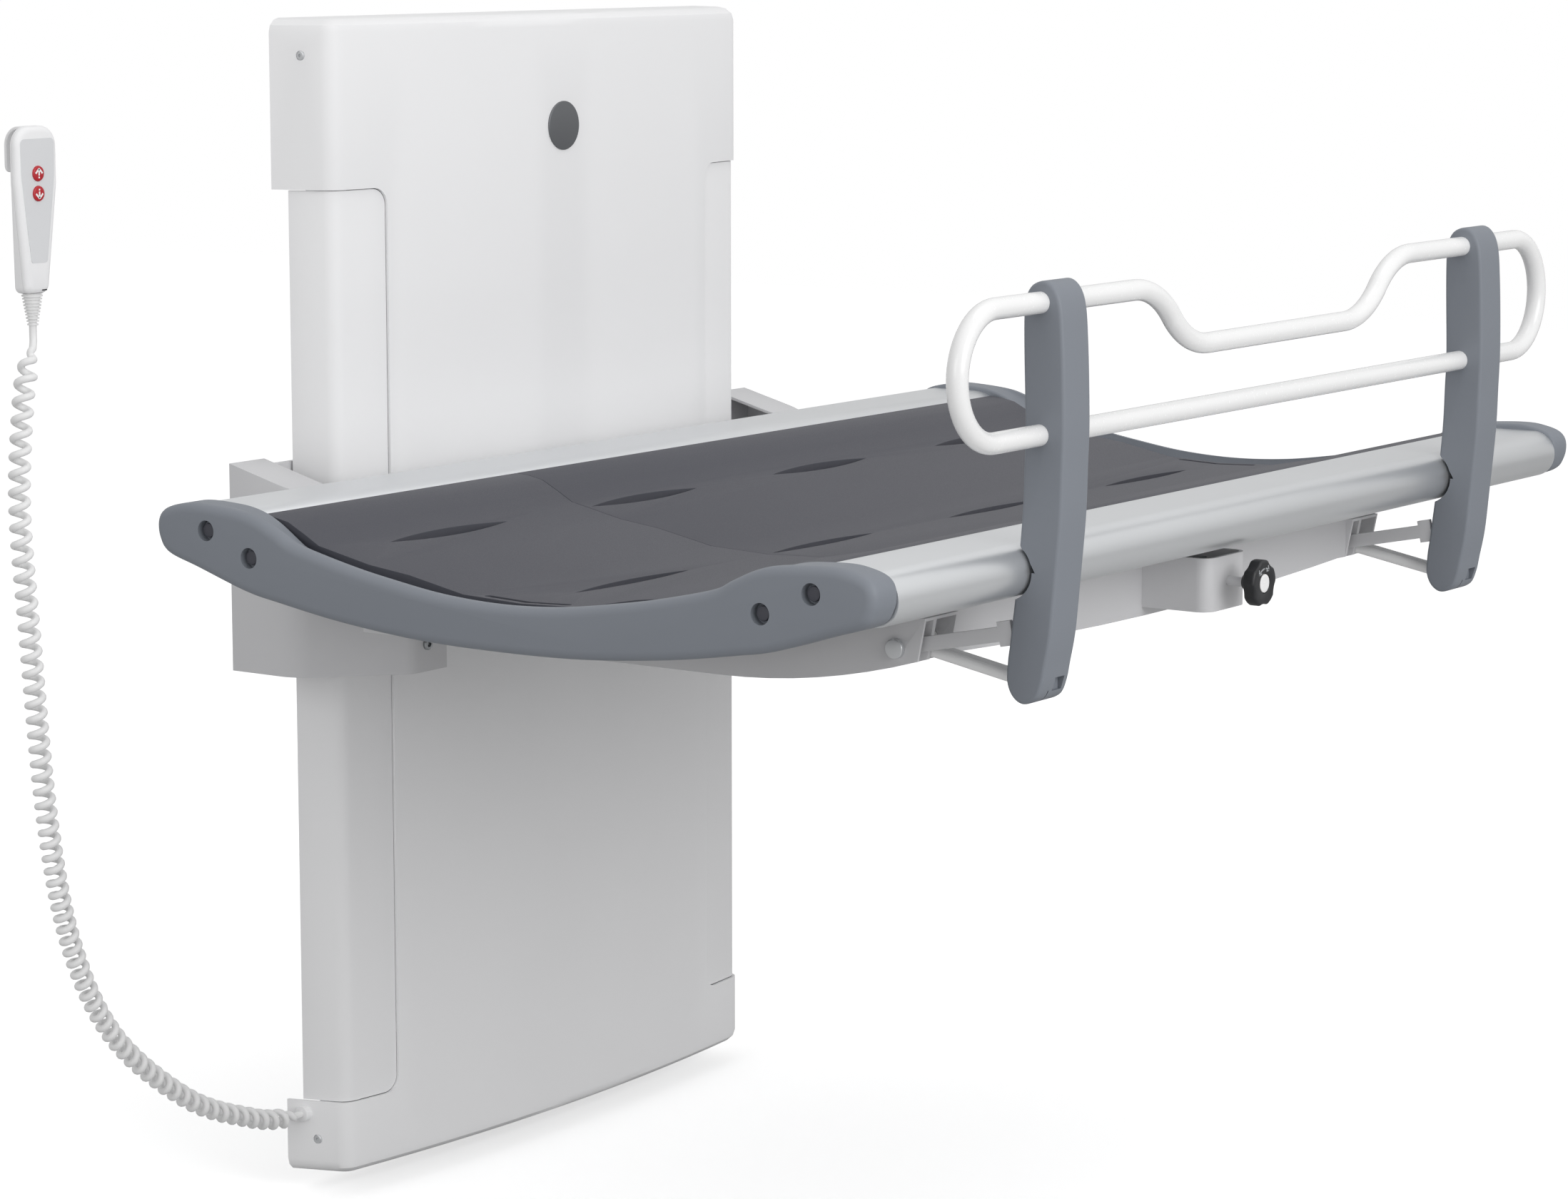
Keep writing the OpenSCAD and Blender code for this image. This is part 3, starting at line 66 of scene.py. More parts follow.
# %% [markdown]
# ## Small helpers
# A few jobs come back in every cell: turn a colour as seen on a screen into the linear one
# the shader wants, add a node with its settings and links in one call, turn rings of points in
# millimetres into a solid, bore it, and say what it rides on. A helper for each keeps the cells
# short, where the operators of the interface would need a selection and a context each time.

# %% Helpers for colours, nodes and meshes
def linear(code):
    """An sRGB colour such as #7F848C as linear RGBA."""
    parts = [int(code[i:i + 2], 16) / 255 for i in (1, 3, 5)]
    return [p / 12.92 if p <= 0.04045 else ((p + 0.055) / 1.055) ** 2.4 for p in parts] + [1.0]


def add(tree, kind, values=None, links=None, **settings):
    """One node, with its settings, its input values and its incoming links."""
    made = tree.nodes.new(kind)
    for key, value in settings.items():
        setattr(made, key, value)
    for key, value in (values or {}).items():
        made.inputs[key].default_value = value
    for key, socket in (links or {}).items():
        tree.links.new(socket, made.inputs[key])
    return made


def reckon(tree, operation, *terms):
    """The output of one sum, done on sockets and plain numbers."""
    numbers = {i: term for i, term in enumerate(terms) if isinstance(term, float)}
    sockets = {i: term for i, term in enumerate(terms) if not isinstance(term, float)}
    return add(tree, "ShaderNodeMath", numbers, sockets, operation=operation).outputs[0]


def emptied(owner):
    """The node tree of a material or world, with nothing in it."""
    owner.use_nodes = True
    owner.node_tree.nodes.clear()
    return owner.node_tree


def mesh_object(name, points, faces=(), edges=()):
    """An object from points in millimetres."""
    mesh = bpy.data.meshes.new(name)
    mesh.from_pydata([Vector(p) * MM for p in points], edges, faces)
    obj = bpy.data.objects.new(name, mesh)
    bpy.context.scene.collection.objects.link(obj)
    return obj


def stack(name, rings):
    """A closed solid through a stack of rings with equal counts of points."""
    n = len(rings[0])
    points = [p for ring in rings for p in ring]
    faces = [(k * n + i, k * n + (i + 1) % n, (k + 1) * n + (i + 1) % n, (k + 1) * n + i)
             for k in range(len(rings) - 1) for i in range(n)]
    faces += [tuple(reversed(range(n))), tuple(range(len(points) - n, len(points)))]
    obj = mesh_object(name, points, faces)
    close(obj)
    return obj


def close(obj):
    """Turns every face outward."""
    shape = bmesh.new()
    shape.from_mesh(obj.data)
    bmesh.ops.recalc_face_normals(shape, faces=shape.faces)
    shape.to_mesh(obj.data)
    shape.free()


def turned(x, z, profile, sides=64):
    """Rings of a turned shape about an axis along Y, by its profile of radius and y."""
    around = [2 * math.pi * i / sides for i in range(sides)]
    return [[(x + r * math.cos(a), y, z + r * math.sin(a)) for a in around] for r, y in profile]


def rounding(r):
    """A quarter round of radius r as pairs, from r and 0 to 0 and r."""
    turns = [math.radians(a) for a in range(0, 91, 15)]
    return [(r * (1 - math.sin(t)), r * (1 - math.cos(t))) for t in turns]


def slab(outline, x_from, x_to):
    """An outline of y and z drawn out along X, used to cut."""
    return stack("plug", [[(x, y, z) for y, z in outline] for x in (x_from, x_to)])


def bore(obj, plug):
    """Takes the plug's shape out of the object."""
    cutter = obj.modifiers.new("bore", "BOOLEAN")
    cutter.operation, cutter.solver, cutter.object = "DIFFERENCE", "EXACT", plug
    graph = bpy.context.evaluated_depsgraph_get()
    mesh = bpy.data.meshes.new_from_object(obj.evaluated_get(graph))
    obj.modifiers.remove(cutter)
    obj.data = mesh
    bpy.data.objects.remove(plug)


def shade(obj, angle=35):
    """Smooth shading that keeps the edges sharper than angle crisp."""
    obj.data.shade_smooth()
    obj.data.set_sharp_from_angle(angle=math.radians(angle))


def wear(obj, material):
    """The object shows this one material."""
    obj.data.materials.clear()
    obj.data.materials.append(material)


def place(obj, body, slot, *nodes, material=None, angle=None):
    """Gives a piece its finish and edges and its body, and hides the solids it stands for; the slot
    is not used.
    """
    if material:
        wear(obj, material)
    if angle:
        shade(obj, angle)
    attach(obj, body)
    if nodes:
        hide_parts(*nodes)
    print(obj.name, len(obj.data.vertices), "points, rides on", body)

# %% [markdown]
# ## Materials
# Nearly everything here is paint, moulded plastic or drawn metal, so one function makes them
# all: a base colour with a slow drift, a roughness that varies a little, and a fine relief
# whose grain is given in millimetres. Painted images would need maps and unwrapping for
# every piece; noise in object coordinates has its true scale on all of them at once.

# %% One finish for paint, plastic and metal
def finish(name, colour, rough, grain, relief, drift, metal=0.0, stretch=(1, 1, 1), coat=0.0,
           sheen=0.0):
    """A surface whose grain is that many millimetres across, stretched along the tool marks."""
    material = bpy.data.materials.new(name)
    tree = emptied(material)
    where = add(tree, "ShaderNodeTexCoord").outputs["Object"]
    drawn = add(tree, "ShaderNodeMapping", {"Scale": stretch}, {"Vector": where})
    broad = add(tree, "ShaderNodeTexNoise", {"Scale": 9.0, "Detail": 3.0}, {"Vector": where})
    fine = add(tree, "ShaderNodeTexNoise",
               {"Scale": 1 / (grain * MM), "Detail": 2.0, "Roughness": 0.6},
               {"Vector": drawn.outputs["Vector"]})
    pale = linear(colour)
    dark = [v * (1 - 2 * drift) for v in pale[:3]] + [1.0]
    tint = add(tree, "ShaderNodeMix", {6: dark, 7: pale}, {0: broad.outputs["Fac"]},
               data_type="RGBA")
    grained = add(tree, "ShaderNodeMix", {0: 3 * relief, 7: dark}, {6: tint.outputs[2]},
                  data_type="RGBA")
    rubbed = add(tree, "ShaderNodeMapRange", {"From Min": 0.3, "From Max": 0.7,
                                              "To Min": rough * 0.88, "To Max": rough * 1.12},
                 {"Value": fine.outputs["Fac"]})
    bump = add(tree, "ShaderNodeBump", {"Strength": 0.35, "Distance": relief * MM},
               {"Height": fine.outputs["Fac"]})
    surface = add(tree, "ShaderNodeBsdfPrincipled",
                  {"Metallic": metal, "Coat Weight": coat, "Coat Roughness": 0.15,
                   "Sheen Weight": sheen},
                  {"Base Color": grained.outputs[2], "Roughness": rubbed.outputs["Result"],
                   "Normal": bump.outputs["Normal"]})
    add(tree, "ShaderNodeOutputMaterial", links={"Surface": surface.outputs["BSDF"]})
    return material


# Painted covers: near white, a dull even sheen with a faint orange peel.
cover_paint = finish("cover_powder_coat_white", "#F1F1F2", 0.6, 1.6, 0.03, 0.01)
# End caps and posts: mid grey moulded plastic, a fine spark-eroded grain that kills highlights.
trim_moulding = finish("grey_moulded_trim", "#7F848C", 0.55, 0.7, 0.04, 0.02)
# Bed panels: slate grey moulding, matt and a little darker in the grain.
bed_moulding = finish("slate_moulded_bed", "#46474F", 0.6, 0.9, 0.05, 0.03)
# Brackets and arms: light grey powder paint, grainier than the covers.
bracket_paint = finish("light_grey_powder_coat", "#D0D0D2", 0.45, 1.1, 0.04, 0.015)
# Safety rail: glossy white paint on tube, with soft long highlights.
rail_paint = finish("gloss_white_tube_paint", "#F2F2F2", 0.25, 2.5, 0.015, 0.01, coat=0.3)
# Rails: anodised extrusion, fine drawing lines along its length.
anodised = finish("satin_anodised_extrusion", "#DDDFE1", 0.34, 0.25, 0.012, 0.02, metal=0.8,
                  stretch=(0.02, 1, 1))
# Shafts, screws and pins: zinc plated steel, slightly blotchy.
plated = finish("zinc_plated_steel", "#A8ABAD", 0.3, 3.0, 0.01, 0.06, metal=1.0)
# Knob, bearings and pads: black glass-filled plastic, satin.
black_moulding = finish("black_moulded_nylon", "#222326", 0.45, 0.6, 0.04, 0.05)
# Face of the hand control: pale grey film, almost without grain.
face_moulding = finish("pale_grey_face_moulding", "#DBDCDE", 0.5, 0.5, 0.015, 0.01)
# Buttons: saturated red plastic with a soft gloss.
button_moulding = finish("red_button_moulding", "#B8202B", 0.35, 0.5, 0.015, 0.02)
# Cord and its sleeve: white soft PVC, waxy.
cord_sheath = finish("white_soft_cord_sheath", "#ECECEC", 0.5, 0.8, 0.02, 0.02, sheen=0.1)
# Badge: dark grey brushed disc, lines across it.
badge_metal = finish("brushed_dark_badge", "#77797C", 0.38, 0.3, 0.015, 0.03, metal=0.7,
                     stretch=(0.03, 1, 1))
# Printed marks: flat ink, light grey on the knob and white on the buttons.
grey_ink = finish("grey_printed_ink", "#9DA0A3", 0.6, 0.4, 0.01, 0.01)
white_ink = finish("white_printed_ink", "#F2F2F2", 0.5, 0.4, 0.01, 0.01)
print(len(bpy.data.materials), "materials")

# %% [markdown]
# ## Camera
# The photograph looks down on the bench with a long lens, and its uprights stand parallel, as
# from a level camera whose frame is shifted down. A plain downward tilt makes them lean by up
# to about a degree and a half. It was taken all the same, because every other view keeps the
# shift and would lose the piece from its frame.

# %% Place the camera
camera_at = (-3.6474, -2.9191, 0.6776)
camera_turn = -54.956
camera_tilt = 8.730
focal = 102.65

camera_data = bpy.data.cameras.new("camera")
camera_data.lens = focal
camera_data.sensor_width = 36
camera = bpy.data.objects.new("camera", camera_data)
camera.location = camera_at
camera.rotation_euler = (math.radians(90 - camera_tilt), 0, math.radians(camera_turn))
bpy.context.scene.collection.objects.link(camera)
bpy.context.scene.camera = camera

# %% [markdown]
# ## Tools for what follows a path
# Cords, the bent tube and the ribbed sleeve all follow a rule, so node trees build them: one
# sweeps a circle along a path, one swells and pinches a sleeve, one sets screw heads on
# points. Swept by hand each bend would have to be modelled again after a change of size.

# %% Geometry node helpers
def geometry_tree(name, **inputs):
    """A node group with a geometry input, named size inputs and a geometry output."""
    tree = bpy.data.node_groups.new(name, "GeometryNodeTree")
    tree.interface.new_socket("Geometry", in_out="INPUT", socket_type="NodeSocketGeometry")
    for label, kind in inputs.items():
        tree.interface.new_socket(label, in_out="INPUT", socket_type="NodeSocket" + kind)
    tree.interface.new_socket("Geometry", in_out="OUTPUT", socket_type="NodeSocketGeometry")
    return tree, add(tree, "NodeGroupInput")


def end_tree(tree, given, shape):
    """Closes a tree with real geometry and its material."""
    real = add(tree, "GeometryNodeRealizeInstances", links={"Geometry": shape})
    dressed = add(tree, "GeometryNodeSetMaterial",
                  links={"Geometry": real.outputs["Geometry"], "Material": given.outputs["Finish"]})
    add(tree, "NodeGroupOutput", links={"Geometry": dressed.outputs["Geometry"]})


def grow(obj, tree, **values):
    """Runs a tree on an object with these inputs and keeps the result as its plain mesh."""
    modifier = obj.modifiers.new(tree.name, "NODES")
    modifier.node_group = tree
    for item in tree.interface.items_tree:
        if item.in_out == "INPUT" and item.name in values:
            modifier[item.identifier] = values[item.name]
    graph = bpy.context.evaluated_depsgraph_get()
    mesh = bpy.data.meshes.new_from_object(obj.evaluated_get(graph))
    obj.modifiers.remove(modifier)
    obj.data = mesh
    return obj


# %% A circle swept along a path
sweep_tree, given = geometry_tree("swept_tube", Diameter="Float", Sides="Int", Finish="Material")
path = add(sweep_tree, "GeometryNodeMeshToCurve", links={"Mesh": given.outputs["Geometry"]})
ring = add(sweep_tree, "GeometryNodeCurvePrimitiveCircle",
           links={"Radius": reckon(sweep_tree, "MULTIPLY", given.outputs["Diameter"], 0.5),
                  "Resolution": given.outputs["Sides"]})
swept = add(sweep_tree, "GeometryNodeCurveToMesh", {"Fill Caps": True},
            {"Curve": path.outputs["Curve"], "Profile Curve": ring.outputs["Curve"]})
end_tree(sweep_tree, given, swept.outputs["Mesh"])


def sweep(name, line, diameter, sides, material, closed=False, angle=60):
    """A round bar along a line of points in millimetres."""
    count = len(line)
    edges = [(i, (i + 1) % count) for i in range(count if closed else count - 1)]
    obj = grow(mesh_object(name, line, edges=edges), sweep_tree,
               Diameter=diameter * MM, Sides=sides, Finish=material)
    shade(obj, angle)
    return obj

# %% [markdown]
# ## The curly cord
# A soft cord leaves the ribbed sleeve, curls tightly and goes back into the column near its
# foot. Its weight pulls the curls open below the sleeve, they lie closest past the middle, and
# the bend near the foot opens them again. They are worked out as a rule, a circle carried
# round a smooth route with a pitch read from a table, because a screw modifier can't change
# its pitch or bend.

# %% Work out the cord's route
cord_d = 7
curl_d = 21
sleeve_end = Vector((-725, -37, 308))
gland_at = Vector((-356, -18, -515))
lead_steps = [(0, 0, 0), (0, 0, -8), (-1, -1, -15), (-4, -3, -21)]
coil_shares = [(0, 0, 0), (-0.024, -0.136, 0.017), (-0.051, -0.227, 0.059),
               (-0.072, -0.227, 0.173), (-0.048, -0.182, 0.315), (0.005, -0.091, 0.549),
               (0.094, 0.091, 0.707), (0.255, 0.318, 0.829), (0.534, 0.591, 0.931),
               (0.783, 0.818, 0.981), (0.922, 1, 0.998), (1, 1, 1)]
lead_route = [sleeve_end + Vector(p) for p in lead_steps]
coil_way = gland_at - lead_route[-1]
coil_route = [lead_route[-1] + Vector(share) * coil_way for share in coil_shares]
pitches = [(0, 16.8), (0.1, 16.4), (0.25, 15.1), (0.4, 13.5), (0.53, 11.9), (0.65, 13.7),
           (0.8, 16.2), (1, 17)]
route_steps = 8
curl_rings = 8
ring_detail = 3
ramp_curls = 1.25


def table_value(table, at):
    """A value read from a table of places and values, in straight steps."""
    at = min(max(at, table[0][0]), table[-1][0])
    for (a, low), (b, high) in zip(table, table[1:]):
        if at <= b:
            return low + (high - low) * (at - a) / (b - a)
    return table[-1][1]


def dense(route):
    """A smooth line through the route's points."""
    pts = [Vector(p) for p in route]
    line = []
    for i in range(len(pts) - 1):
        p, q, r, s = pts[max(i - 1, 0)], pts[i], pts[i + 1], pts[min(i + 2, len(pts) - 1)]
        for j in range(route_steps):
            t = j / route_steps
            bent = 2 * p - 5 * q + 4 * r - s + t * (3 * q - p - 3 * r + s)
            line.append(q + 0.5 * t * (r - p + t * bent))
    return line + [pts[-1]]


def distances(line):
    """How far along the line each point is."""
    run = [0.0]
    for a, b in zip(line, line[1:]):
        run.append(run[-1] + (b - a).length)
    return run


coil_line = dense(coil_route)
coil_run = distances(coil_line)
coil_l = coil_run[-1]


def coil_at(s):
    """The point of the coil's middle line at distance s."""
    return Vector([table_value([(d, p[k]) for d, p in zip(coil_run, coil_line)], s)
                   for k in range(3)])


coil_places = []
s = 0.0
while s < coil_l - cord_d:
    coil_places.append(s)
    s += table_value(pitches, s / coil_l) / curl_rings
ring_count = len(coil_places)


def curl_point(i):
    """Point i of the curled line, which may lie between two rings of the solid."""
    k = min(int(i), ring_count - 2)
    s = coil_places[k] + (coil_places[k + 1] - coil_places[k]) * (i - k)
    ahead = (coil_at(min(s + curl_d, coil_l)) - coil_at(max(s - curl_d, 0))).normalized()
    over = ahead.cross(Vector((0, -1, 0))).normalized()
    out = ahead.cross(over)
    ramp_rings = ramp_curls * curl_rings
    ramp = min(1, i / ramp_rings, (ring_count - 1 - i) / ramp_rings)
    a = 2 * math.pi * i / curl_rings
    return coil_at(s) + (curl_d - cord_d) / 2 * ramp * (math.cos(a) * over + math.sin(a) * out)


steps = (ring_count - 1) * ring_detail
curl_line = [curl_point(i / ring_detail) for i in range(steps + 1)] + [coil_at(coil_l)]
print(ring_count / curl_rings, "curls")

# %% Make the cord and its lead
lead_line = dense(lead_route)
cord_line = lead_line[:-1] + curl_line
cord_piece = sweep("curly_cord_soft", cord_line, cord_d, 12, cord_sheath, angle=80)
place(cord_piece, "wall_unit", "cord_sheath", "curly_cord", "cord_lead")

# %% [markdown]
# ## The ribbed sleeve
# The sleeve under the hand control keeps the cord from kinking: a soft cone with rings cut
# in it. One tree pinches a plain tube at every rib, so their number and depth stay inputs;
# rings modelled singly would each be a place to change.

# %% Make the sleeve
sleeve_tree, given = geometry_tree("ribbed_sleeve", Length="Float", Top="Float", End="Float",
                                   Ribs="Int", Groove="Float", Finish="Material")
barrel = add(sleeve_tree, "GeometryNodeMeshCylinder", {"Vertices": 40, "Radius": 1.0},
             {"Side Segments": reckon(sleeve_tree, "MULTIPLY", given.outputs["Ribs"], 10.0),
              "Depth": given.outputs["Length"]})
where = add(sleeve_tree, "GeometryNodeInputPosition").outputs[0]
split = add(sleeve_tree, "ShaderNodeSeparateXYZ", links={0: where})
share = reckon(sleeve_tree, "DIVIDE", split.outputs["Z"], given.outputs["Length"])
upward = reckon(sleeve_tree, "ADD", share, 0.5)
width = add(sleeve_tree, "ShaderNodeMapRange",
            links={"Value": upward, "To Min": given.outputs["End"], "To Max": given.outputs["Top"]})
count = reckon(sleeve_tree, "MULTIPLY", upward, given.outputs["Ribs"])
pinch = add(sleeve_tree, "ShaderNodeMapRange", {"From Min": 0.45, "From Max": 0.6},
            {"Value": reckon(sleeve_tree, "FRACT", count), "To Max": given.outputs["Groove"]},
            interpolation_type="SMOOTHSTEP")
half_width = reckon(sleeve_tree, "MULTIPLY", width.outputs["Result"], 0.5)
radius = reckon(sleeve_tree, "SUBTRACT", half_width, pinch.outputs["Result"])
scale = add(sleeve_tree, "ShaderNodeCombineXYZ", {"Z": 1.0}, {"X": radius, "Y": radius})
shaped = add(sleeve_tree, "ShaderNodeVectorMath", links={0: where, 1: scale.outputs[0]},
             operation="MULTIPLY")
moved = add(sleeve_tree, "GeometryNodeSetPosition",
            links={"Geometry": barrel.outputs["Mesh"], "Position": shaped.outputs["Vector"]})
end_tree(sleeve_tree, given, moved.outputs["Geometry"])

sleeve_low, sleeve_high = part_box("strain_relief")
shell_low, shell_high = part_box("handset_shell")
sleeve_l = shell_low.z - sleeve_low.z
sleeve = grow(mesh_object("ribbed_sleeve", [(0, 0, 0)]), sleeve_tree, Length=sleeve_l,
              Top=20 * MM, End=10 * MM, Ribs=10, Groove=1.8 * MM, Finish=cord_sheath)
sleeve.data.transform(Matrix.Translation(((sleeve_low.x + sleeve_high.x) / 2,
                                          (sleeve_low.y + sleeve_high.y) / 2,
                                          sleeve_low.z + sleeve_l / 2)))
place(sleeve, "wall_unit", "cord_sheath", "strain_relief", angle=50)

# %% [markdown]
# ## The safety rail's tube
# One closed loop of round steel tube: two straight runs, a wide half circle at each end and a
# dip in the top run between the posts. Sweeping a circle along the centre line gives bends
# with the same round section all the way, where bent cylinders would show their joints.

# %% Sweep the rail tube
rail_plane = 920
tube_d = 19
rail_run = 981
tube_high = 350.5
tube_low = 237
tube_dip = 294
dip_flat = 260
dip_reach = 132
bend_steps = 16


def arc(cx, cz, r, start, stop, count):
    """Points of an arc, by its angles in degrees."""
    turns = [math.radians(start + (stop - start) * i / count) for i in range(count + 1)]
    return [(cx + r * math.cos(a), cz + r * math.sin(a)) for a in turns]


half_run = rail_run / 2
loop_r = (tube_high - tube_low) / 2
dip_turn = 2 * math.atan2(tube_high - tube_dip, dip_reach)
dip_r = dip_reach / (2 * math.sin(dip_turn))
dip_start = dip_flat / 2
dip_angle = math.degrees(dip_turn)
half_line = (arc(half_run, tube_low + loop_r, loop_r, -90, 90, 2 * bend_steps)
             + arc(dip_start + dip_reach, tube_high - dip_r, dip_r, 90, 90 + dip_angle, bend_steps)
             + arc(dip_start, tube_dip + dip_r, dip_r, 270 + dip_angle, 270, bend_steps))
tube_line = [Vector((x, -rail_plane, z)) for x, z in half_line]
tube_line += [Vector((-p.x, p.y, p.z)) for p in reversed(tube_line)]
tube = sweep("bent_rail_tube", tube_line, tube_d, 32, rail_paint, closed=True)
place(tube, "safety_rail", "rail_paint", "rail_tube")

# %% [markdown]
# ## Screw heads
# Small screws hold the covers and larger ones the brackets' flanges. One tree sets a chamfered
# head with a hexagon socket on every given point, so they stay alike and a new screw is only
# a new point; heads modelled one by one would repeat the same cuts each time.

# %% Set the screw heads
head_tree, given = geometry_tree("screw_heads", Diameter="Float", Height="Float", Socket="Float",
                                 Turn="Rotation", Finish="Material")


def raised(shape, height):
    """A part of the head moved up by a socket's value."""
    at = add(head_tree, "ShaderNodeCombineXYZ", links={"Z": height})
    return add(head_tree, "GeometryNodeTransform",
               links={"Geometry": shape.outputs["Mesh"], "Translation": at.outputs[0]}).outputs[0]


half_d = reckon(head_tree, "MULTIPLY", given.outputs["Diameter"], 0.5)
half_h = reckon(head_tree, "MULTIPLY", given.outputs["Height"], 0.5)
half_socket = reckon(head_tree, "MULTIPLY", given.outputs["Socket"], 0.5)
rim = reckon(head_tree, "MULTIPLY", half_d, 0.82)
crown_h = reckon(head_tree, "MULTIPLY", given.outputs["Height"], 0.35)
barrel_h = reckon(head_tree, "SUBTRACT", given.outputs["Height"], crown_h)
barrel = add(head_tree, "GeometryNodeMeshCylinder", {"Vertices": 48},
             {"Radius": half_d, "Depth": barrel_h})
crown = add(head_tree, "GeometryNodeMeshCone", {"Vertices": 48},
            {"Radius Bottom": half_d, "Radius Top": rim, "Depth": crown_h})
hexagon = add(head_tree, "GeometryNodeMeshCylinder", {"Vertices": 6},
              {"Radius": half_socket, "Depth": given.outputs["Height"]})
whole = add(head_tree, "GeometryNodeMeshBoolean", operation="UNION", solver="EXACT")
for shape, height in ((barrel, reckon(head_tree, "MULTIPLY", crown_h, -0.5)),
                      (crown, reckon(head_tree, "SUBTRACT", half_h, crown_h))):
    head_tree.links.new(raised(shape, height), whole.inputs["Mesh 2"])
socketed = add(head_tree, "GeometryNodeMeshBoolean",
               links={"Mesh 1": whole.outputs["Mesh"], "Mesh 2": raised(hexagon, crown_h)},
               operation="DIFFERENCE", solver="EXACT")
spots = add(head_tree, "GeometryNodeMeshToPoints", links={"Mesh": given.outputs["Geometry"]})
heads = add(head_tree, "GeometryNodeInstanceOnPoints",
            links={"Points": spots.outputs["Points"], "Instance": socketed.outputs["Mesh"],
                   "Rotation": given.outputs["Turn"]})
end_tree(head_tree, given, heads.outputs["Instances"])


def screw_heads(name, spots, diameter, height, socket, turn, material):
    """Heads at these spots, whose axis is +Z turned by these degrees."""
    obj = grow(mesh_object(name, spots), head_tree, Diameter=diameter * MM, Height=height * MM,
               Socket=socket * MM, Turn=[math.radians(t) for t in turn], Finish=material)
    shade(obj, 25)
    return obj


side_low, side_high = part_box("cover_screws")
cover_head_d = 9
cover_head_h = 2.4
cover_socket = 3.5
cover_screw_y = -31
for side in (-1, 1):
    head_x = side * (side_high.x / MM - cover_head_h / 2)
    spots = [(head_x, cover_screw_y, side_low.z / MM + cover_head_d / 2),
             (head_x, cover_screw_y, side_high.z / MM - cover_head_d / 2)]
    heads = screw_heads("cover_screw_heads_" + ("left" if side < 0 else "right"), spots,
                        cover_head_d, cover_head_h, cover_socket, (0, 90 * side, 0), anodised)
    place(heads, "wall_unit", "steel", "cover_screws")

bolt_low, bolt_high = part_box("flange_bolts")
bolt_h = (bolt_high.y - bolt_low.y) / MM
bolt_d = (bolt_high.z - bolt_low.z) / MM
bolt_x = bolt_high.x / MM - bolt_d / 2
bolt_y = bolt_low.y / MM + bolt_h / 2
bolt_z = (bolt_low.z + bolt_high.z) / 2 / MM
bolt_socket = 6.5
bolts = screw_heads("flange_bolt_heads", [(-bolt_x, bolt_y, bolt_z), (bolt_x, bolt_y, bolt_z)],
                    bolt_d, bolt_h, bolt_socket, (90, 0, 0), plated)
place(bolts, "carriage", "steel", "flange_bolts")

# %% [markdown]
# ## The star knob
# A black moulded knob with five broad lobes, a soft edge, a narrow hub behind, a sunk cap and
# a curved double arrow that shows it turns. Its outline is one ring of points whose radius
# swings with the angle; stacking that ring at several depths rounds the edge, which a bevel on
# scalloped steps would do less evenly.

# %% Make the knob
knob_low, knob_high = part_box("star_knob")
knob_z = (knob_low.z + knob_high.z) / 2 / MM
knob_r = (knob_high.x - knob_low.x) / 2 / MM
knob_back = knob_high.y / MM
knob_front = knob_low.y / MM
lobes = 5
scallop_r = 17.0
scallop_h = 3.4
edge_r = 2.6
lobe_gain = 1.4
lobe_soft = 1.2
lobe_ease = 0.5
grip_t = 13
hub_r = 7.5
cap_r = 8.75
cap_groove = 0.8
ring_points = 40 * lobes


def knob_ring(y, inset):
    """The outline at one depth, drawn in by inset: a circle with shallow scallops."""
    reach = knob_r + scallop_r - scallop_h
    half_lobe = math.pi / lobes
    ring = []
    for i in range(ring_points):
        a = 2 * math.pi * i / ring_points
        off = (a - math.pi / 2 + half_lobe) % (2 * half_lobe) - half_lobe
        off = half_lobe - abs(off)
        root = scallop_r ** 2 - (reach * math.sin(off)) ** 2
        r = knob_r if root < 0 else min(knob_r, reach * math.cos(off) - math.sqrt(root))
        dent = r - knob_r + lobe_soft
        r = 0.5 * (r + knob_r - lobe_soft - math.sqrt(dent ** 2 + lobe_ease)) - inset + lobe_gain
        ring.append((r * math.cos(a), y, knob_z + r * math.sin(a)))
    return ring


grip_back = knob_front + grip_t
hub = [(hub_r - 1.5, knob_back), (hub_r - 0.5, knob_back - 0.3), (hub_r, knob_back - 1.5),
       (hub_r + 1.5, grip_back + 1.5), (hub_r + 4, grip_back)]
groove_r = cap_r + cap_groove
groove = [(groove_r + 0.4, knob_front), (groove_r, knob_front + 0.4), (groove_r, knob_front + 2.0)]
knob_rings = turned(0, knob_z, hub, ring_points)
knob_rings += [knob_ring(grip_back - depth, inset) for inset, depth in rounding(edge_r)]
knob_rings += [knob_ring(knob_front + depth, inset) for depth, inset in rounding(edge_r)]
knob_rings += turned(0, knob_z, groove, ring_points)
knob = stack("star_knob_moulding", knob_rings)
place(knob, "knob", "black_plastic", "star_knob", material=black_moulding, angle=50)

cap_profile = [(cap_r, 2.0), (cap_r, 0.6), (cap_r - 0.2, 0.2), (cap_r - 0.7, 0.0), (cap_r - 3, 0.0)]
cap_profile = [(r, knob_front + y) for r, y in cap_profile]
knob_cover = stack("knob_cap_disc", turned(0, knob_z, cap_profile))
place(knob_cover, "knob", "rail_paint", "knob_cap", material=rail_paint, angle=40)


def flat_mark(name, outlines, front, depth, material):
    """Outlines of x and z as one thin raised mark, facing -Y: print, and the painted shade of a slot.
    """
    points, faces = [], []
    for outline in outlines:
        n, base = len(outline), len(points)
        points += [(x, y, z) for y in (front + depth, front) for x, z in outline]
        faces += [tuple(range(base, base + n)), tuple(reversed(range(base + n, base + 2 * n)))]
        faces += [(base + i, base + (i + 1) % n, base + n + (i + 1) % n, base + n + i)
                  for i in range(n)]
    obj = mesh_object(name, points, faces)
    close(obj)
    wear(obj, material)
    return obj


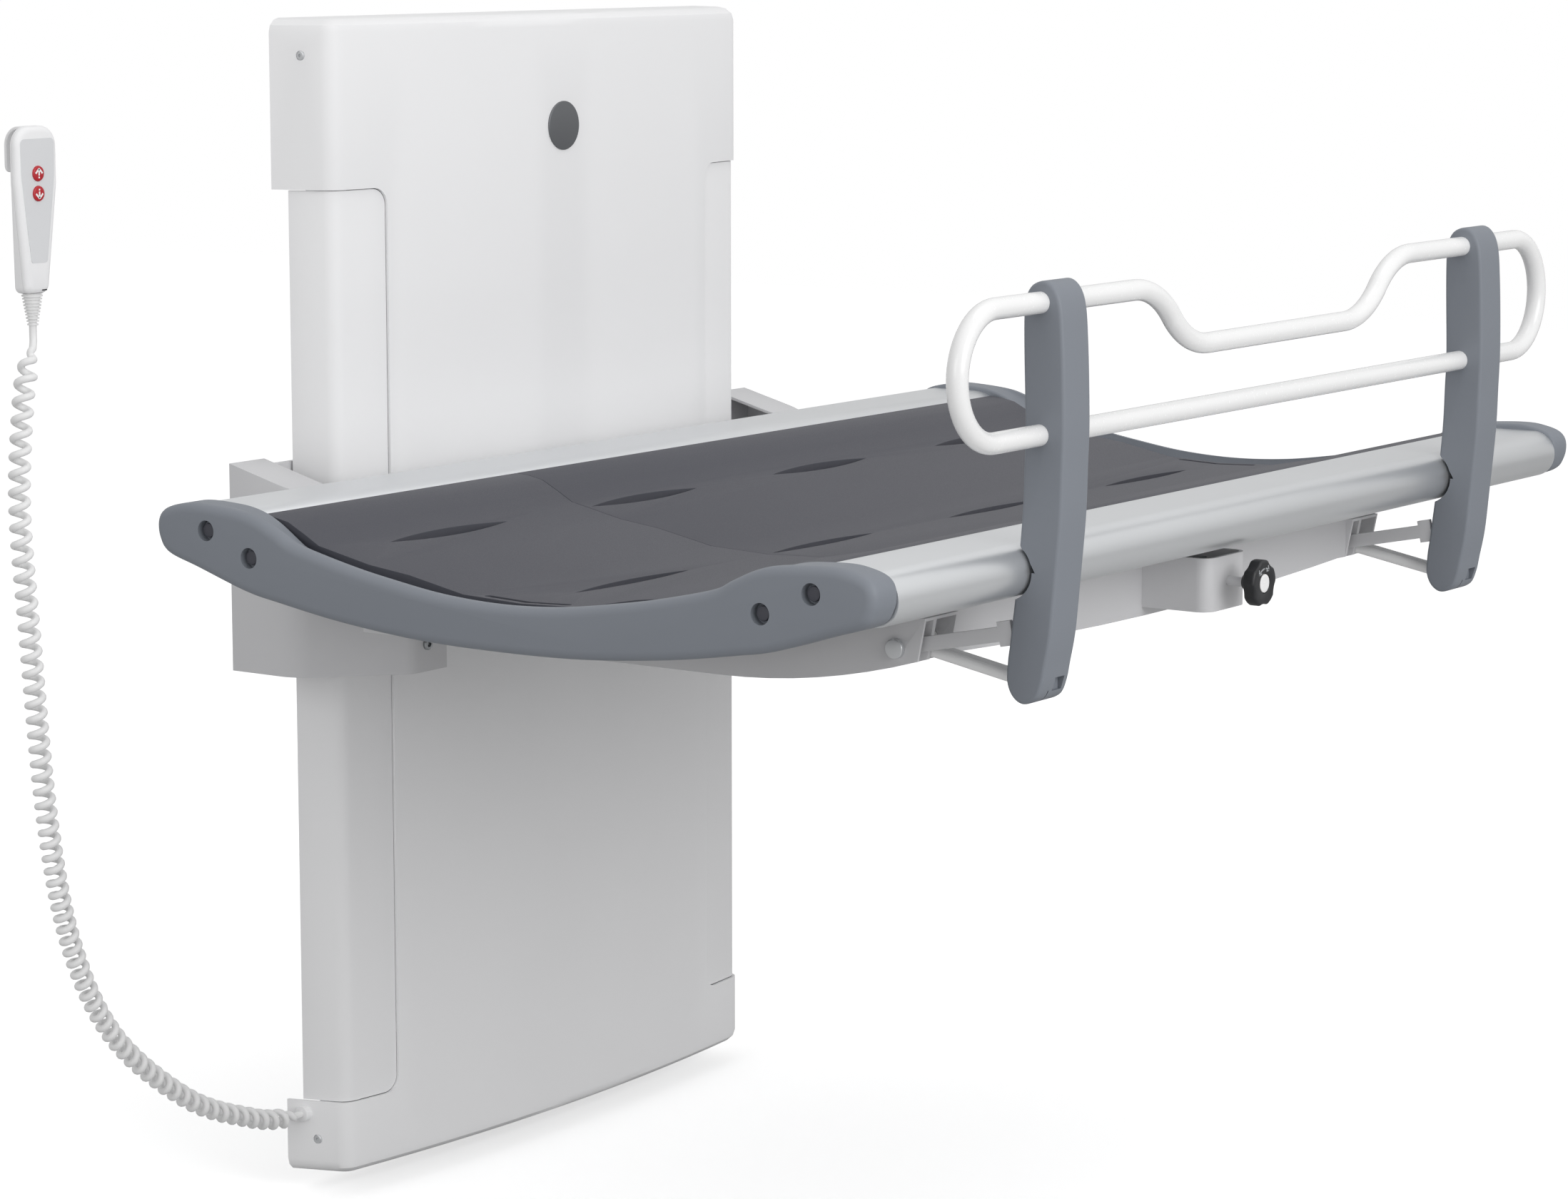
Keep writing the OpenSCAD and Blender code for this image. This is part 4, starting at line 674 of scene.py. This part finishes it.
def bar(a, b, width):
    """A straight stroke from a to b as an outline."""
    (ax, az), (bx, bz) = a, b
    run = math.hypot(bx - ax, bz - az)
    dx, dz = (bx - ax) / run * width / 2, (bz - az) / run * width / 2
    return [(ax - dz, az + dx), (bx - dz, bz + dx), (bx + dz, bz - dx), (ax + dz, az - dx)]


def band(cx, cz, r, width, start, stop, count=14):
    """A curved stroke about a centre as an outline."""
    return (arc(cx, cz, r + width / 2, start, stop, count)
            + list(reversed(arc(cx, cz, r - width / 2, start, stop, count))))


mark_r = 14.0
mark_ends = (58, 142)
mark_gap = (86, 94)
barb_l = 5.0
barb_spread = 38
stroke = 1.5
strokes = [band(0, knob_z, mark_r, stroke, mark_ends[0], mark_gap[0]),
           band(0, knob_z, mark_r, stroke, mark_gap[1], mark_ends[1])]
for end, way in zip(mark_ends, (-1, 1)):
    a = math.radians(end)
    tip = (mark_r * math.cos(a), knob_z + mark_r * math.sin(a))
    for spread in (-barb_spread, barb_spread):
        b = a - way * math.pi / 2 + math.radians(spread)
        barb = (tip[0] + barb_l * math.cos(b), tip[1] + barb_l * math.sin(b))
        strokes.append(bar(tip, barb, stroke))
turn_mark = flat_mark("knob_turn_mark", strokes, knob_front - 0.01, 0.06, grey_ink)
place(turn_mark, "knob", "face_plastic")

# %% [markdown]
# ## The hand control
# A slim white shell, thin at the top and thicker towards the cord, that hangs by a broad
# strap of the same moulding. Its outline is drawn in step by step towards the front and the
# back, so every edge is as round as a moulded one, and a fine seam runs where its two halves
# meet. Scaled boxes would keep straight sides where the real ones swell.

# %% Make the shell of the hand control
film_low, film_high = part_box("handset_face")
hand_x = (shell_low.x + shell_high.x) / 2 / MM
hand_top = shell_high.z / MM
hand_front = -film_low.y / MM
hand_l = 151
hand_low = hand_top - hand_l
hand_w = 52
hand_end_w = 28
hand_t = 10
hand_end_t = 18
hand_slope = 2
hand_flat = 28
front_round = 5.0
back_round = 3.0
film_proud = 0.15
seam_at = 6.2


def rectangle(a0, a1, b0, b1):
    """Its four corners, one way round."""
    return [(a0, b0), (a1, b0), (a1, b1), (a0, b1)]


def fillet(points, radii, steps=8):
    """An outline with its corners rounded, always with the same count of points."""
    loop = []
    for i, (x, z) in enumerate(points):
        here = Vector((x, z))
        back = (Vector(points[i - 1]) - here).normalized()
        ahead = (Vector(points[(i + 1) % len(points)]) - here).normalized()
        half = back.angle(ahead) / 2
        run = radii[i] / math.tan(half)
        middle = here + (back + ahead).normalized() * radii[i] / math.sin(half)
        first, last = here + back * run - middle, here + ahead * run - middle
        turn = first.angle_signed(last)
        for k in range(steps + 1):
            a = -turn * k / steps
            loop.append((middle.x + first.x * math.cos(a) - first.y * math.sin(a),
                         middle.y + first.x * math.sin(a) + first.y * math.cos(a)))
    return loop


def hand_outline(inset):
    """The shell seen from the front, drawn in by inset."""
    top, low = hand_w / 2 - inset, hand_end_w / 2 - inset
    shoulder = hand_top - hand_w
    corners = [(-top, shoulder), (-low, hand_low + inset), (low, hand_low + inset), (top, shoulder),
               (top, hand_top - inset), (-top, hand_top - inset)]
    end_r, top_r = hand_end_w / 4 - inset * 0.6, hand_w / 3 - inset * 0.6
    loop = fillet(corners, [hand_w, end_r, end_r, hand_w, top_r, top_r])
    return [(hand_x + x, z) for x, z in loop]


def hand_face_y(z):
    """Distance of the front from the wall at a height."""
    low_share = max(0.0, (hand_low + hand_flat - z) / hand_flat)
    return hand_front - film_proud - hand_slope * low_share ** 2


def hand_back_y(z):
    """Distance of the back from the wall at a height."""
    taper = max(0.0, (hand_top - 0.4 * hand_l - z) / (0.6 * hand_l))
    return hand_front - hand_t - (hand_end_t + hand_slope - hand_t) * taper


def hand_ring(inset, depth, from_back=False, shrink=1.0):
    """One loop of the shell, at a depth behind its front or before its back."""
    middle = hand_top - hand_l / 2
    ring = []
    for x, z in hand_outline(inset):
        x, z = hand_x + (x - hand_x) * shrink, middle + (z - middle) * shrink
        y = hand_back_y(z) + depth if from_back else hand_face_y(z) - depth
        ring.append((x, -y, z))
    return ring


shrinks = (0.3, 0.6, 0.85)
seam = ((0, -0.3), (0.45, -0.15), (0.45, 0.15), (0, 0.3))
hand_rings = [hand_ring(front_round, 0, shrink=f) for f in shrinks]
hand_rings += [hand_ring(inset, depth) for inset, depth in rounding(front_round)]
hand_rings += [hand_ring(inset, seam_at + depth) for inset, depth in seam]
hand_rings += [hand_ring(inset, depth, True) for depth, inset in rounding(back_round)]
hand_rings += [hand_ring(back_round, 0, True, shrink=f) for f in reversed(shrinks)]
hand_shell = stack("hand_control_moulding", hand_rings)

button_play = 0.08
button_seat = 6


def bore_for_buttons(obj, depth):
    """Takes a seat of this depth behind the front for each button out of a piece."""
    for node in ("up_button", "down_button"):
        low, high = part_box(node)
        r = (high.x - low.x) / 2 / MM + button_play
        profile = [(r, -hand_front - 1), (r, depth - hand_front)]
        middle = ((low.x + high.x) / 2 / MM, (low.z + high.z) / 2 / MM)
        bore(obj, stack("plug", turned(*middle, profile)))


bore_for_buttons(hand_shell, button_seat)
place(hand_shell, "wall_unit", "cover_plastic", "handset_shell", material=cover_paint, angle=40)

film_top = film_high.z / MM
film_end = film_low.z / MM
film_thick = 1.0
film_edge = 0.06
film_shoulder = film_top - 34
film = [(-21.5, film_top), (-21, film_shoulder), (-10, film_end), (10, film_end),
        (21, film_shoulder), (21.5, film_top)]
film_radii = [5, 80, 3, 3, 80, 5]


def film_ring(inset, y):
    """The film's outline, drawn in by inset."""
    middle = (film_top + film_end) / 2
    return [(hand_x + x * (1 - inset / 16), y, middle + (z - middle) * (1 - inset / 50))
            for x, z in fillet(film, film_radii)]


film_steps = ((0, film_thick), (0, film_edge), (film_edge, 0))
film_rings = [film_ring(inset, depth - hand_front) for inset, depth in film_steps]
film_piece = stack("hand_control_film", film_rings)
bore_for_buttons(film_piece, 2 * film_thick)
place(film_piece, "wall_unit", "face_plastic", "handset_face", material=face_moulding)

strap_w = 24
strap_t = 3
strap_bend = 16.5
strap_top = hand_top - strap_t / 2
strap_off = 18
strap_leg = strap_off + strap_t / 2
strap_drop = 42
strap_end_r = 6
strap_path = [(hand_front - 5.5, strap_top - 1.2), (hand_front - 8, strap_top - 0.4),
              (hand_front - 11, strap_top)]
for t in [math.radians(a) for a in range(0, 91, 10)]:
    strap_path.append((strap_leg + strap_bend * (1 - math.sin(t)),
                       strap_top - strap_bend * (1 - math.cos(t))))
strap_path += [(strap_leg, hand_top - strap_drop + d) for d in (14, 6, 4, 2.2, 1.0, 0.3, 0)]
strap_rings = []
for i, (y, z) in enumerate(strap_path):
    y0, z0 = strap_path[max(i - 1, 0)]
    y1, z1 = strap_path[min(i + 1, len(strap_path) - 1)]
    run = math.hypot(y1 - y0, z1 - z0)
    ny, nz = (z1 - z0) / run, -(y1 - y0) / run
    short = max(0, strap_end_r - (z - (hand_top - strap_drop)))
    half = strap_w / 2 - strap_end_r + math.sqrt(max(0, strap_end_r ** 2 - short ** 2))
    loop = fillet(rectangle(-half, half, -strap_t / 2, strap_t / 2), [1.2] * 4, 4)
    strap_rings.append([(hand_x + u, -(y + v * ny), z + v * nz) for u, v in loop])
strap = stack("hand_control_strap", strap_rings)
place(strap, "wall_unit", "cover_plastic", material=cover_paint, angle=50)

# The slot at the foot of the control is not cut: a thin black mark on its face is painted shade where
# the opening shows dark.
slot_z = hand_low + 3
slot_w = 1.1
slot_shade_mark = flat_mark("hand_control_slot_painted_shade", [bar((hand_x + 4, slot_z), (hand_x + 10, slot_z), slot_w)],
                      -hand_face_y(slot_z) - 0.05, 0.3, black_moulding)
place(slot_shade_mark, "wall_unit", "black_plastic")

# %% [markdown]
# ## Buttons of the hand control
# Two domed red buttons stand a little out of the face, with a white arrow on each, up and
# down. They are turned rings, slightly domed, because a flat disc would catch one even
# reflection where a real button shades softly towards its rim.

# %% Make the buttons
arrow_w = 1.8
arrow_tip = 4.4
arrow_tail = -1.8
arrow_dash = (-2.8, -4.3)
barb_reach = 4.3
for node, body_name, up in (("up_button", "up_key", 1), ("down_button", "down_key", -1)):
    low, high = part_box(node)
    centre = (low + high) / 2 / MM
    r = (high.x - low.x) / 2 / MM
    front, back = low.y / MM, high.y / MM
    profile = [(r, back), (r, front + 1.0), (r - 0.3, front + 0.5), (r - 1.1, front + 0.15),
               (r - 3.5, front)]
    cap = stack(node + "_domed", turned(centre.x, centre.z, profile, 48))
    place(cap, body_name, "button_plastic", node, material=button_moulding, angle=50)
    tip = centre.z + up * arrow_tip
    shaft = [tip - up * 0.5] + [centre.z + up * z for z in (arrow_tail, *arrow_dash)]
    strokes = [bar((centre.x, a), (centre.x, b), arrow_w) for a, b in (shaft[:2], shaft[2:])]
    for way in (-1, 1):
        barb = (centre.x + way * barb_reach, tip - up * barb_reach)
        strokes.append(bar((centre.x, tip), barb, arrow_w))
    arrow = flat_mark(node + "_arrow", strokes, front - 0.02, 0.15, white_ink)
    place(arrow, body_name, "cover_plastic")

# %% [markdown]
# ## The end caps
# A thick grey moulding closes each end of the bed: a long smile seen from the end, round on
# its outer rim and cut lower behind it, so that the bed's own dark edge shows above. It is a
# smooth line through the same shares of the depth and height as the source, drawn in and
# lowered ring by ring. The solid's straight steps would show as facets along that line.

# %% Make the end caps
cap_low, cap_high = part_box("end_cap_left")
cap_out, cap_in = cap_low.x / MM, cap_high.x / MM
cap_mid = (cap_low.y + cap_high.y) / 2 / MM
cap_half = (cap_high.y - cap_low.y) / 2 / MM
cap_foot = cap_low.z / MM
cap_h = (cap_high.z - cap_low.z) / MM
low_shares = [(0, 0), (0.229, 0.019), (0.453, 0.095), (0.639, 0.2), (0.735, 0.267),
              (0.876, 0.429), (0.965, 0.533), (0.993, 0.66), (0.998, 0.81)]
top_shares = [(0.982, 0.914), (0.94, 0.972), (0.879, 0.996), (0.755, 0.965), (0.69, 0.91),
              (0.63, 0.81), (0.577, 0.715), (0.436, 0.59), (0.317, 0.51), (0.164, 0.43), (0, 0.4)]
rim_r = 9
rim_w = 12
rim_drop = 14
inner_r = 3
rail_r = 23.5
rail_z = 117.5
recess_d = 19
recess_h = 9
port_spots = [(39.6, 5.5), (91, -15.5)]


def cap_loop():
    """The closed outline of the cap, each point [along, up] with its share of the drop."""
    half = [Vector((u, w, 0)) for u, w in low_shares + top_shares]
    route = [Vector((-half[1].x, half[1].y, 0))] + half + [Vector((-half[-2].x, half[-2].y, 0))]
    line = dense(route)[route_steps:-route_steps]
    top = [(p.x > 0.0) * (i > len(low_shares) * route_steps) for i, p in enumerate(line)]
    loop = []
    for p, upper in zip(line, top):
        middle = min(1, max(0, (0.8 - p.x) / 0.25))
        loop.append(((p.x * cap_half, p.y * cap_h), upper * middle * middle * (3 - 2 * middle)))
    loop[-1] = (loop[-1][0], 1.0)
    return loop + [((-u, w), d) for (u, w), d in reversed(loop[1:-1])]


def drawn_in(loop, inset, drop):
    """The outline moved inward by inset, with its upper middle lowered by drop."""
    n, ring = len(loop), []
    for i in range(n):
        (u0, w0), (u1, w1) = loop[i - 1][0], loop[(i + 1) % n][0]
        run = math.hypot(u1 - u0, w1 - w0)
        (u, w), share = loop[i]
        ring.append((u - inset * (w1 - w0) / run, w + inset * (u1 - u0) / run - drop * share))
    return ring


cap_line = cap_loop()
cap_steps = [(inset, depth, 0) for inset, depth in rounding(rim_r)]
cap_steps += [(0, rim_w, 0), (0, rim_w + 1.5, rim_drop * 0.7), (0, rim_w + 4, rim_drop)]
cap_steps += [(inset, cap_in - cap_out - left, rim_drop) for left, inset in rounding(inner_r)]
for side, cap_name in ((1, "left"), (-1, "right")):
    rings = [[(side * (cap_out + depth), cap_mid + u, cap_foot + w)
              for u, w in drawn_in(cap_line, inset, drop)] for inset, depth, drop in cap_steps]
    cap_piece = stack("end_cap_" + cap_name + "_moulding", rings)
    for along in (-1, 1):
        for u, w in port_spots:
            y = cap_mid + along * (cap_half - rail_r - u)
            hole = arc(y, rail_z + w, recess_d / 2, 0, 352.5, 47)
            bore(cap_piece, slab(hole, side * (cap_out - 5), side * (cap_out + recess_h)))
    place(cap_piece, "bed", "trim_plastic", "end_cap_" + cap_name, material=trim_moulding, angle=40)

# %% [markdown]
# ## The posts
# Each post of the safety rail is a flat grey moulding, slender and bowed, with a rounded foot
# and a notch that lets it pass the round front rail. Its side view is a smooth closed line
# through the shares the source states, rounded over at both faces; the notch, the path of the
# swing and the small openings in the foot are then cut out. The solid's own steps would show
# as corners at the foot.

# %% Make the posts
post_low, post_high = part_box("post_left")
post_mid = (post_high.x - post_low.x) / 2 / MM
post_front = -post_low.y / MM
post_foot = post_low.z / MM
post_h = (post_high.z - post_low.z) / MM
post_d = 41
post_round = 3.5
notch_y, notch_z = -887.5, rail_z
notch_r = 26
pivot_y, pivot_z = -778, 40
swing_play = 1.5
swing_r = math.hypot(notch_y - pivot_y, notch_z - pivot_z) + rail_r + swing_play
strip_slot = (-919, 13, 25)
strip_slot_w = 15
foot_slot = (30, -5, 14)
foot_slot_at = (-8, -6.4)
post_shares = [(0, 0.98), (0.015, 0.65), (0.05, 0.5), (0.095, 0.415), (0.166, 0.293),
               (0.275, 0.195), (0.444, 0.06), (0.561, 0.024), (0.651, 0), (0.741, 0.012),
               (0.85, 0.049), (0.935, 0.11), (0.98, 0.25), (1, 0.5), (0.99, 0.82), (0.96, 0.99),
               (0.92, 1.03), (0.831, 1.024), (0.657, 0.98), (0.567, 1), (0.447, 1.037),
               (0.281, 1.17), (0.188, 1.268), (0.142, 1.317), (0.098, 1.37), (0.049, 1.38),
               (0.015, 1.24)]
corners = [Vector((d * post_d - post_front, post_foot + h * post_h, 0))
           for h, d in reversed(post_shares)]
post_line = dense(corners[-1:] + corners + corners[:2])[route_steps:-route_steps - 1]
post_line = [((p.x, p.y), 0) for p in post_line]
post_steps = rounding(post_round)
post_steps += [(inset, 2 * post_mid - depth) for inset, depth in reversed(post_steps)]
notch_line = arc(notch_y, notch_z, notch_r, 0, 355, 71)
swing_first = math.degrees(math.asin((notch_z - pivot_z) / swing_r))
swing_line = arc(pivot_y, pivot_z, swing_r, 180 - swing_first, 90, 40) + [(pivot_y, notch_z)]
cut_front = -post_front - 5
for side, post_name in ((-1, "left"), (1, "right")):
    low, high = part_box("post_" + post_name)
    x0, x1 = low.x / MM, high.x / MM
    middle = (x0 + x1) / 2
    rings = [[(x0 + depth, y, z) for y, z in drawn_in(post_line, inset, 0)]
             for inset, depth in post_steps]
    post_piece = stack("post_" + post_name + "_moulding", rings)
    bore(post_piece, slab(notch_line, x0 - 5, x1 + 5))
    bore(post_piece, slab(swing_line, x0 - 5, x1 + 5))
    bore(post_piece, slab(rectangle(cut_front, *strip_slot), middle - 1, middle - 1 + strip_slot_w))
    foot_cut = rectangle(cut_front, foot_slot[0] - post_front, *foot_slot[1:])
    bore(post_piece, slab(foot_cut, middle + foot_slot_at[0], middle + foot_slot_at[1]))
    place(post_piece, "safety_rail", "trim_plastic", "post_" + post_name, material=trim_moulding,
          angle=40)

# %% [markdown]
# ## Edges of the moulded and folded parts
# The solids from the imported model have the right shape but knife-sharp edges, and light
# never falls on a real edge that way. One node tree tidies their mesh and shades them by
# angle, and a bevel of each part's own edge radius follows. Remaking each part only for its
# edges would throw away exact shapes.

# %% Soften the edges and give every solid its finish
crisp_tree, given = geometry_tree("shade_by_angle", Angle="Float")
plain = add(crisp_tree, "GeometryNodeRemoveAttribute", {"Name": "custom_normal"},
            {"Geometry": given.outputs["Geometry"]})
bend = add(crisp_tree, "GeometryNodeInputMeshEdgeAngle")
sharp = add(crisp_tree, "FunctionNodeCompare",
            links={0: bend.outputs["Unsigned Angle"], 1: given.outputs["Angle"]},
            data_type="FLOAT", operation="GREATER_THAN")
soft = add(crisp_tree, "GeometryNodeSetShadeSmooth", {"Shade Smooth": True},
           {"Geometry": plain.outputs["Geometry"]}, domain="FACE")
cut = add(crisp_tree, "GeometryNodeSetShadeSmooth", {"Shade Smooth": False},
          {"Geometry": soft.outputs["Geometry"], "Selection": sharp.outputs["Result"]}, domain="EDGE")
add(crisp_tree, "NodeGroupOutput", links={"Geometry": cut.outputs["Geometry"]})


crisp_angle = math.radians(30)
flat_angle = math.radians(0.6)
weld_reach = 0.002


def dress(node, material, edge):
    """A CAD solid gets its finish and an edge radius in millimetres."""
    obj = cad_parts[node]
    for used in obj.material_slots:
        used.material = material
    weld = obj.modifiers.new("join corners", "WELD")
    weld.merge_threshold = weld_reach * MM
    if edge:
        flat = obj.modifiers.new("flat faces", "DECIMATE")
        flat.decimate_type = "DISSOLVE"
        flat.angle_limit = flat_angle
        bevel = obj.modifiers.new("edge radius", "BEVEL")
        bevel.width = edge * MM
        bevel.segments = 3
        bevel.limit_method = "ANGLE"
        bevel.angle_limit = crisp_angle
        bevel.use_clamp_overlap = True
    crisp = obj.modifiers.new("shade by angle", "NODES")
    crisp.node_group = crisp_tree
    crisp[crisp_tree.interface.items_tree["Angle"].identifier] = crisp_angle


finishes = (
    (plated, 0, "guide_shafts lead_screw"),
    (plated, 0.5, "back_plate hinge_pins"),
    (plated, 0.6, "cross_bars"),
    (plated, 0.8, "rear_beam arm_saddles spindle_nut"),
    (anodised, 0.5, "cover_posts hinge_blocks"),
    (anodised, 0.6, "wall_rail front_rail"),
    (anodised, 0.8, "rail_pivots"),
    (black_moulding, 0.8, "stop_pads"),
    (black_moulding, 1, "slide_bearings"),
    (black_moulding, 2, "control_box drive_unit"),
    (cover_paint, 0, "front_cover"),
    (cover_paint, 0.8, "side_strip_left side_strip_right"),
    (cover_paint, 1, "cord_gland"),
    (badge_metal, 0.6, "badge_disc"),
    (bracket_paint, 0.5, "link_strips spindle"),
    (bracket_paint, 0.6, "carriage_plate"),
    (bracket_paint, 0.8, "arm_left arm_right"),
    (bracket_paint, 0.9, "bracket_left bracket_right"),
    (bracket_paint, 1, "hinge_lugs"),
    (bracket_paint, 1.2, "front_beam"),
    (bed_moulding, 0.8, "cap_screws"),
    (bed_moulding, 1, "head_panel foot_panel"),
    (rail_paint, 0.5, "link_rods"),
)
for material, edge, names in finishes:
    for node in names.split():
        dress(node, material, edge)
    print(names, "in", material.name)

# %% [markdown]
# ## Floor, light and air
# The photograph is a studio cut-out: soft light from above and in front on a pure white
# ground. A white floor and a white surround give the same. A broad lamp in front at bed height
# lights the faces, one at the left rounds the ends, a weak one above shapes the panels, and
# shiny parts see a darker room low down, which draws the edges of the rails.

# %% Set the stage
floor_gap = 0.02
floor_half = 9000
floor_z = (cad_box[0].z - floor_gap) / MM
floor = mesh_object("floor", [(x, y, floor_z) for x, y in rectangle(-floor_half, floor_half,
                                                                    -floor_half, floor_half)],
                    [(0, 1, 2, 3)])
ground = bpy.data.materials.new("white_studio_floor")
paper = emptied(ground)
straight = add(paper, "ShaderNodeLightPath").outputs["Is Camera Ray"]
tone = add(paper, "ShaderNodeMapRange", {"To Min": 0.55, "To Max": 0.92}, {"Value": straight})
sheet = add(paper, "ShaderNodeBsdfDiffuse", links={"Color": tone.outputs["Result"]})
glow = add(paper, "ShaderNodeEmission", {"Color": (1, 1, 1, 1)},
           {"Strength": reckon(paper, "MULTIPLY", straight, 0.45)})
both = add(paper, "ShaderNodeAddShader", links={0: sheet.outputs[0], 1: glow.outputs[0]})
add(paper, "ShaderNodeOutputMaterial", links={"Surface": both.outputs[0]})
wear(floor, ground)

world = bpy.data.worlds.new("studio")
bpy.context.scene.world = world
sky = emptied(world)
rays = add(sky, "ShaderNodeLightPath")
way = add(sky, "ShaderNodeTexCoord")
height = add(sky, "ShaderNodeSeparateXYZ", links={0: way.outputs["Generated"]}).outputs["Z"]
dome = add(sky, "ShaderNodeMapRange", {"From Min": -0.6, "From Max": 0.9, "To Min": 0.7,
                                       "To Max": 0.62}, {"Value": height})
mirrored = add(sky, "ShaderNodeMapRange", {"From Min": -0.7, "From Max": 0.8, "To Min": 0.18,
                                           "To Max": 1.0}, {"Value": height})
room = add(sky, "ShaderNodeMix", links={0: rays.outputs["Is Glossy Ray"], 2: dome.outputs["Result"],
                                        3: mirrored.outputs["Result"]}, data_type="FLOAT")
strength = add(sky, "ShaderNodeMix", {3: 1.0},
               {0: rays.outputs["Is Camera Ray"], 2: room.outputs[0]}, data_type="FLOAT")
air = add(sky, "ShaderNodeBackground", {"Color": (1, 1, 1, 1)}, {"Strength": strength.outputs[0]})
add(sky, "ShaderNodeOutputWorld", links={"Surface": air.outputs[0]})
bpy.context.scene.view_settings.view_transform = "Standard"


def lamp(name, at, aim, size, power):
    """A square soft lamp at a place, facing another."""
    data = bpy.data.lights.new(name, "AREA")
    data.size = size
    data.energy = power
    obj = bpy.data.objects.new(name, data)
    obj.location = at
    obj.rotation_euler = (Vector(aim) - Vector(at)).to_track_quat("-Z", "Y").to_euler()
    bpy.context.scene.collection.objects.link(obj)


lamp("key", (-0.9, -5.2, 2.0), (0, -0.2, 0.0), 3.0, 105)
lamp("side", (-4.6, -1.2, 1.4), (-0.3, -0.4, 0), 2.0, 22)
lamp("top", (0.6, -1.4, 4.2), (0, -0.4, 0), 2.0, 16)
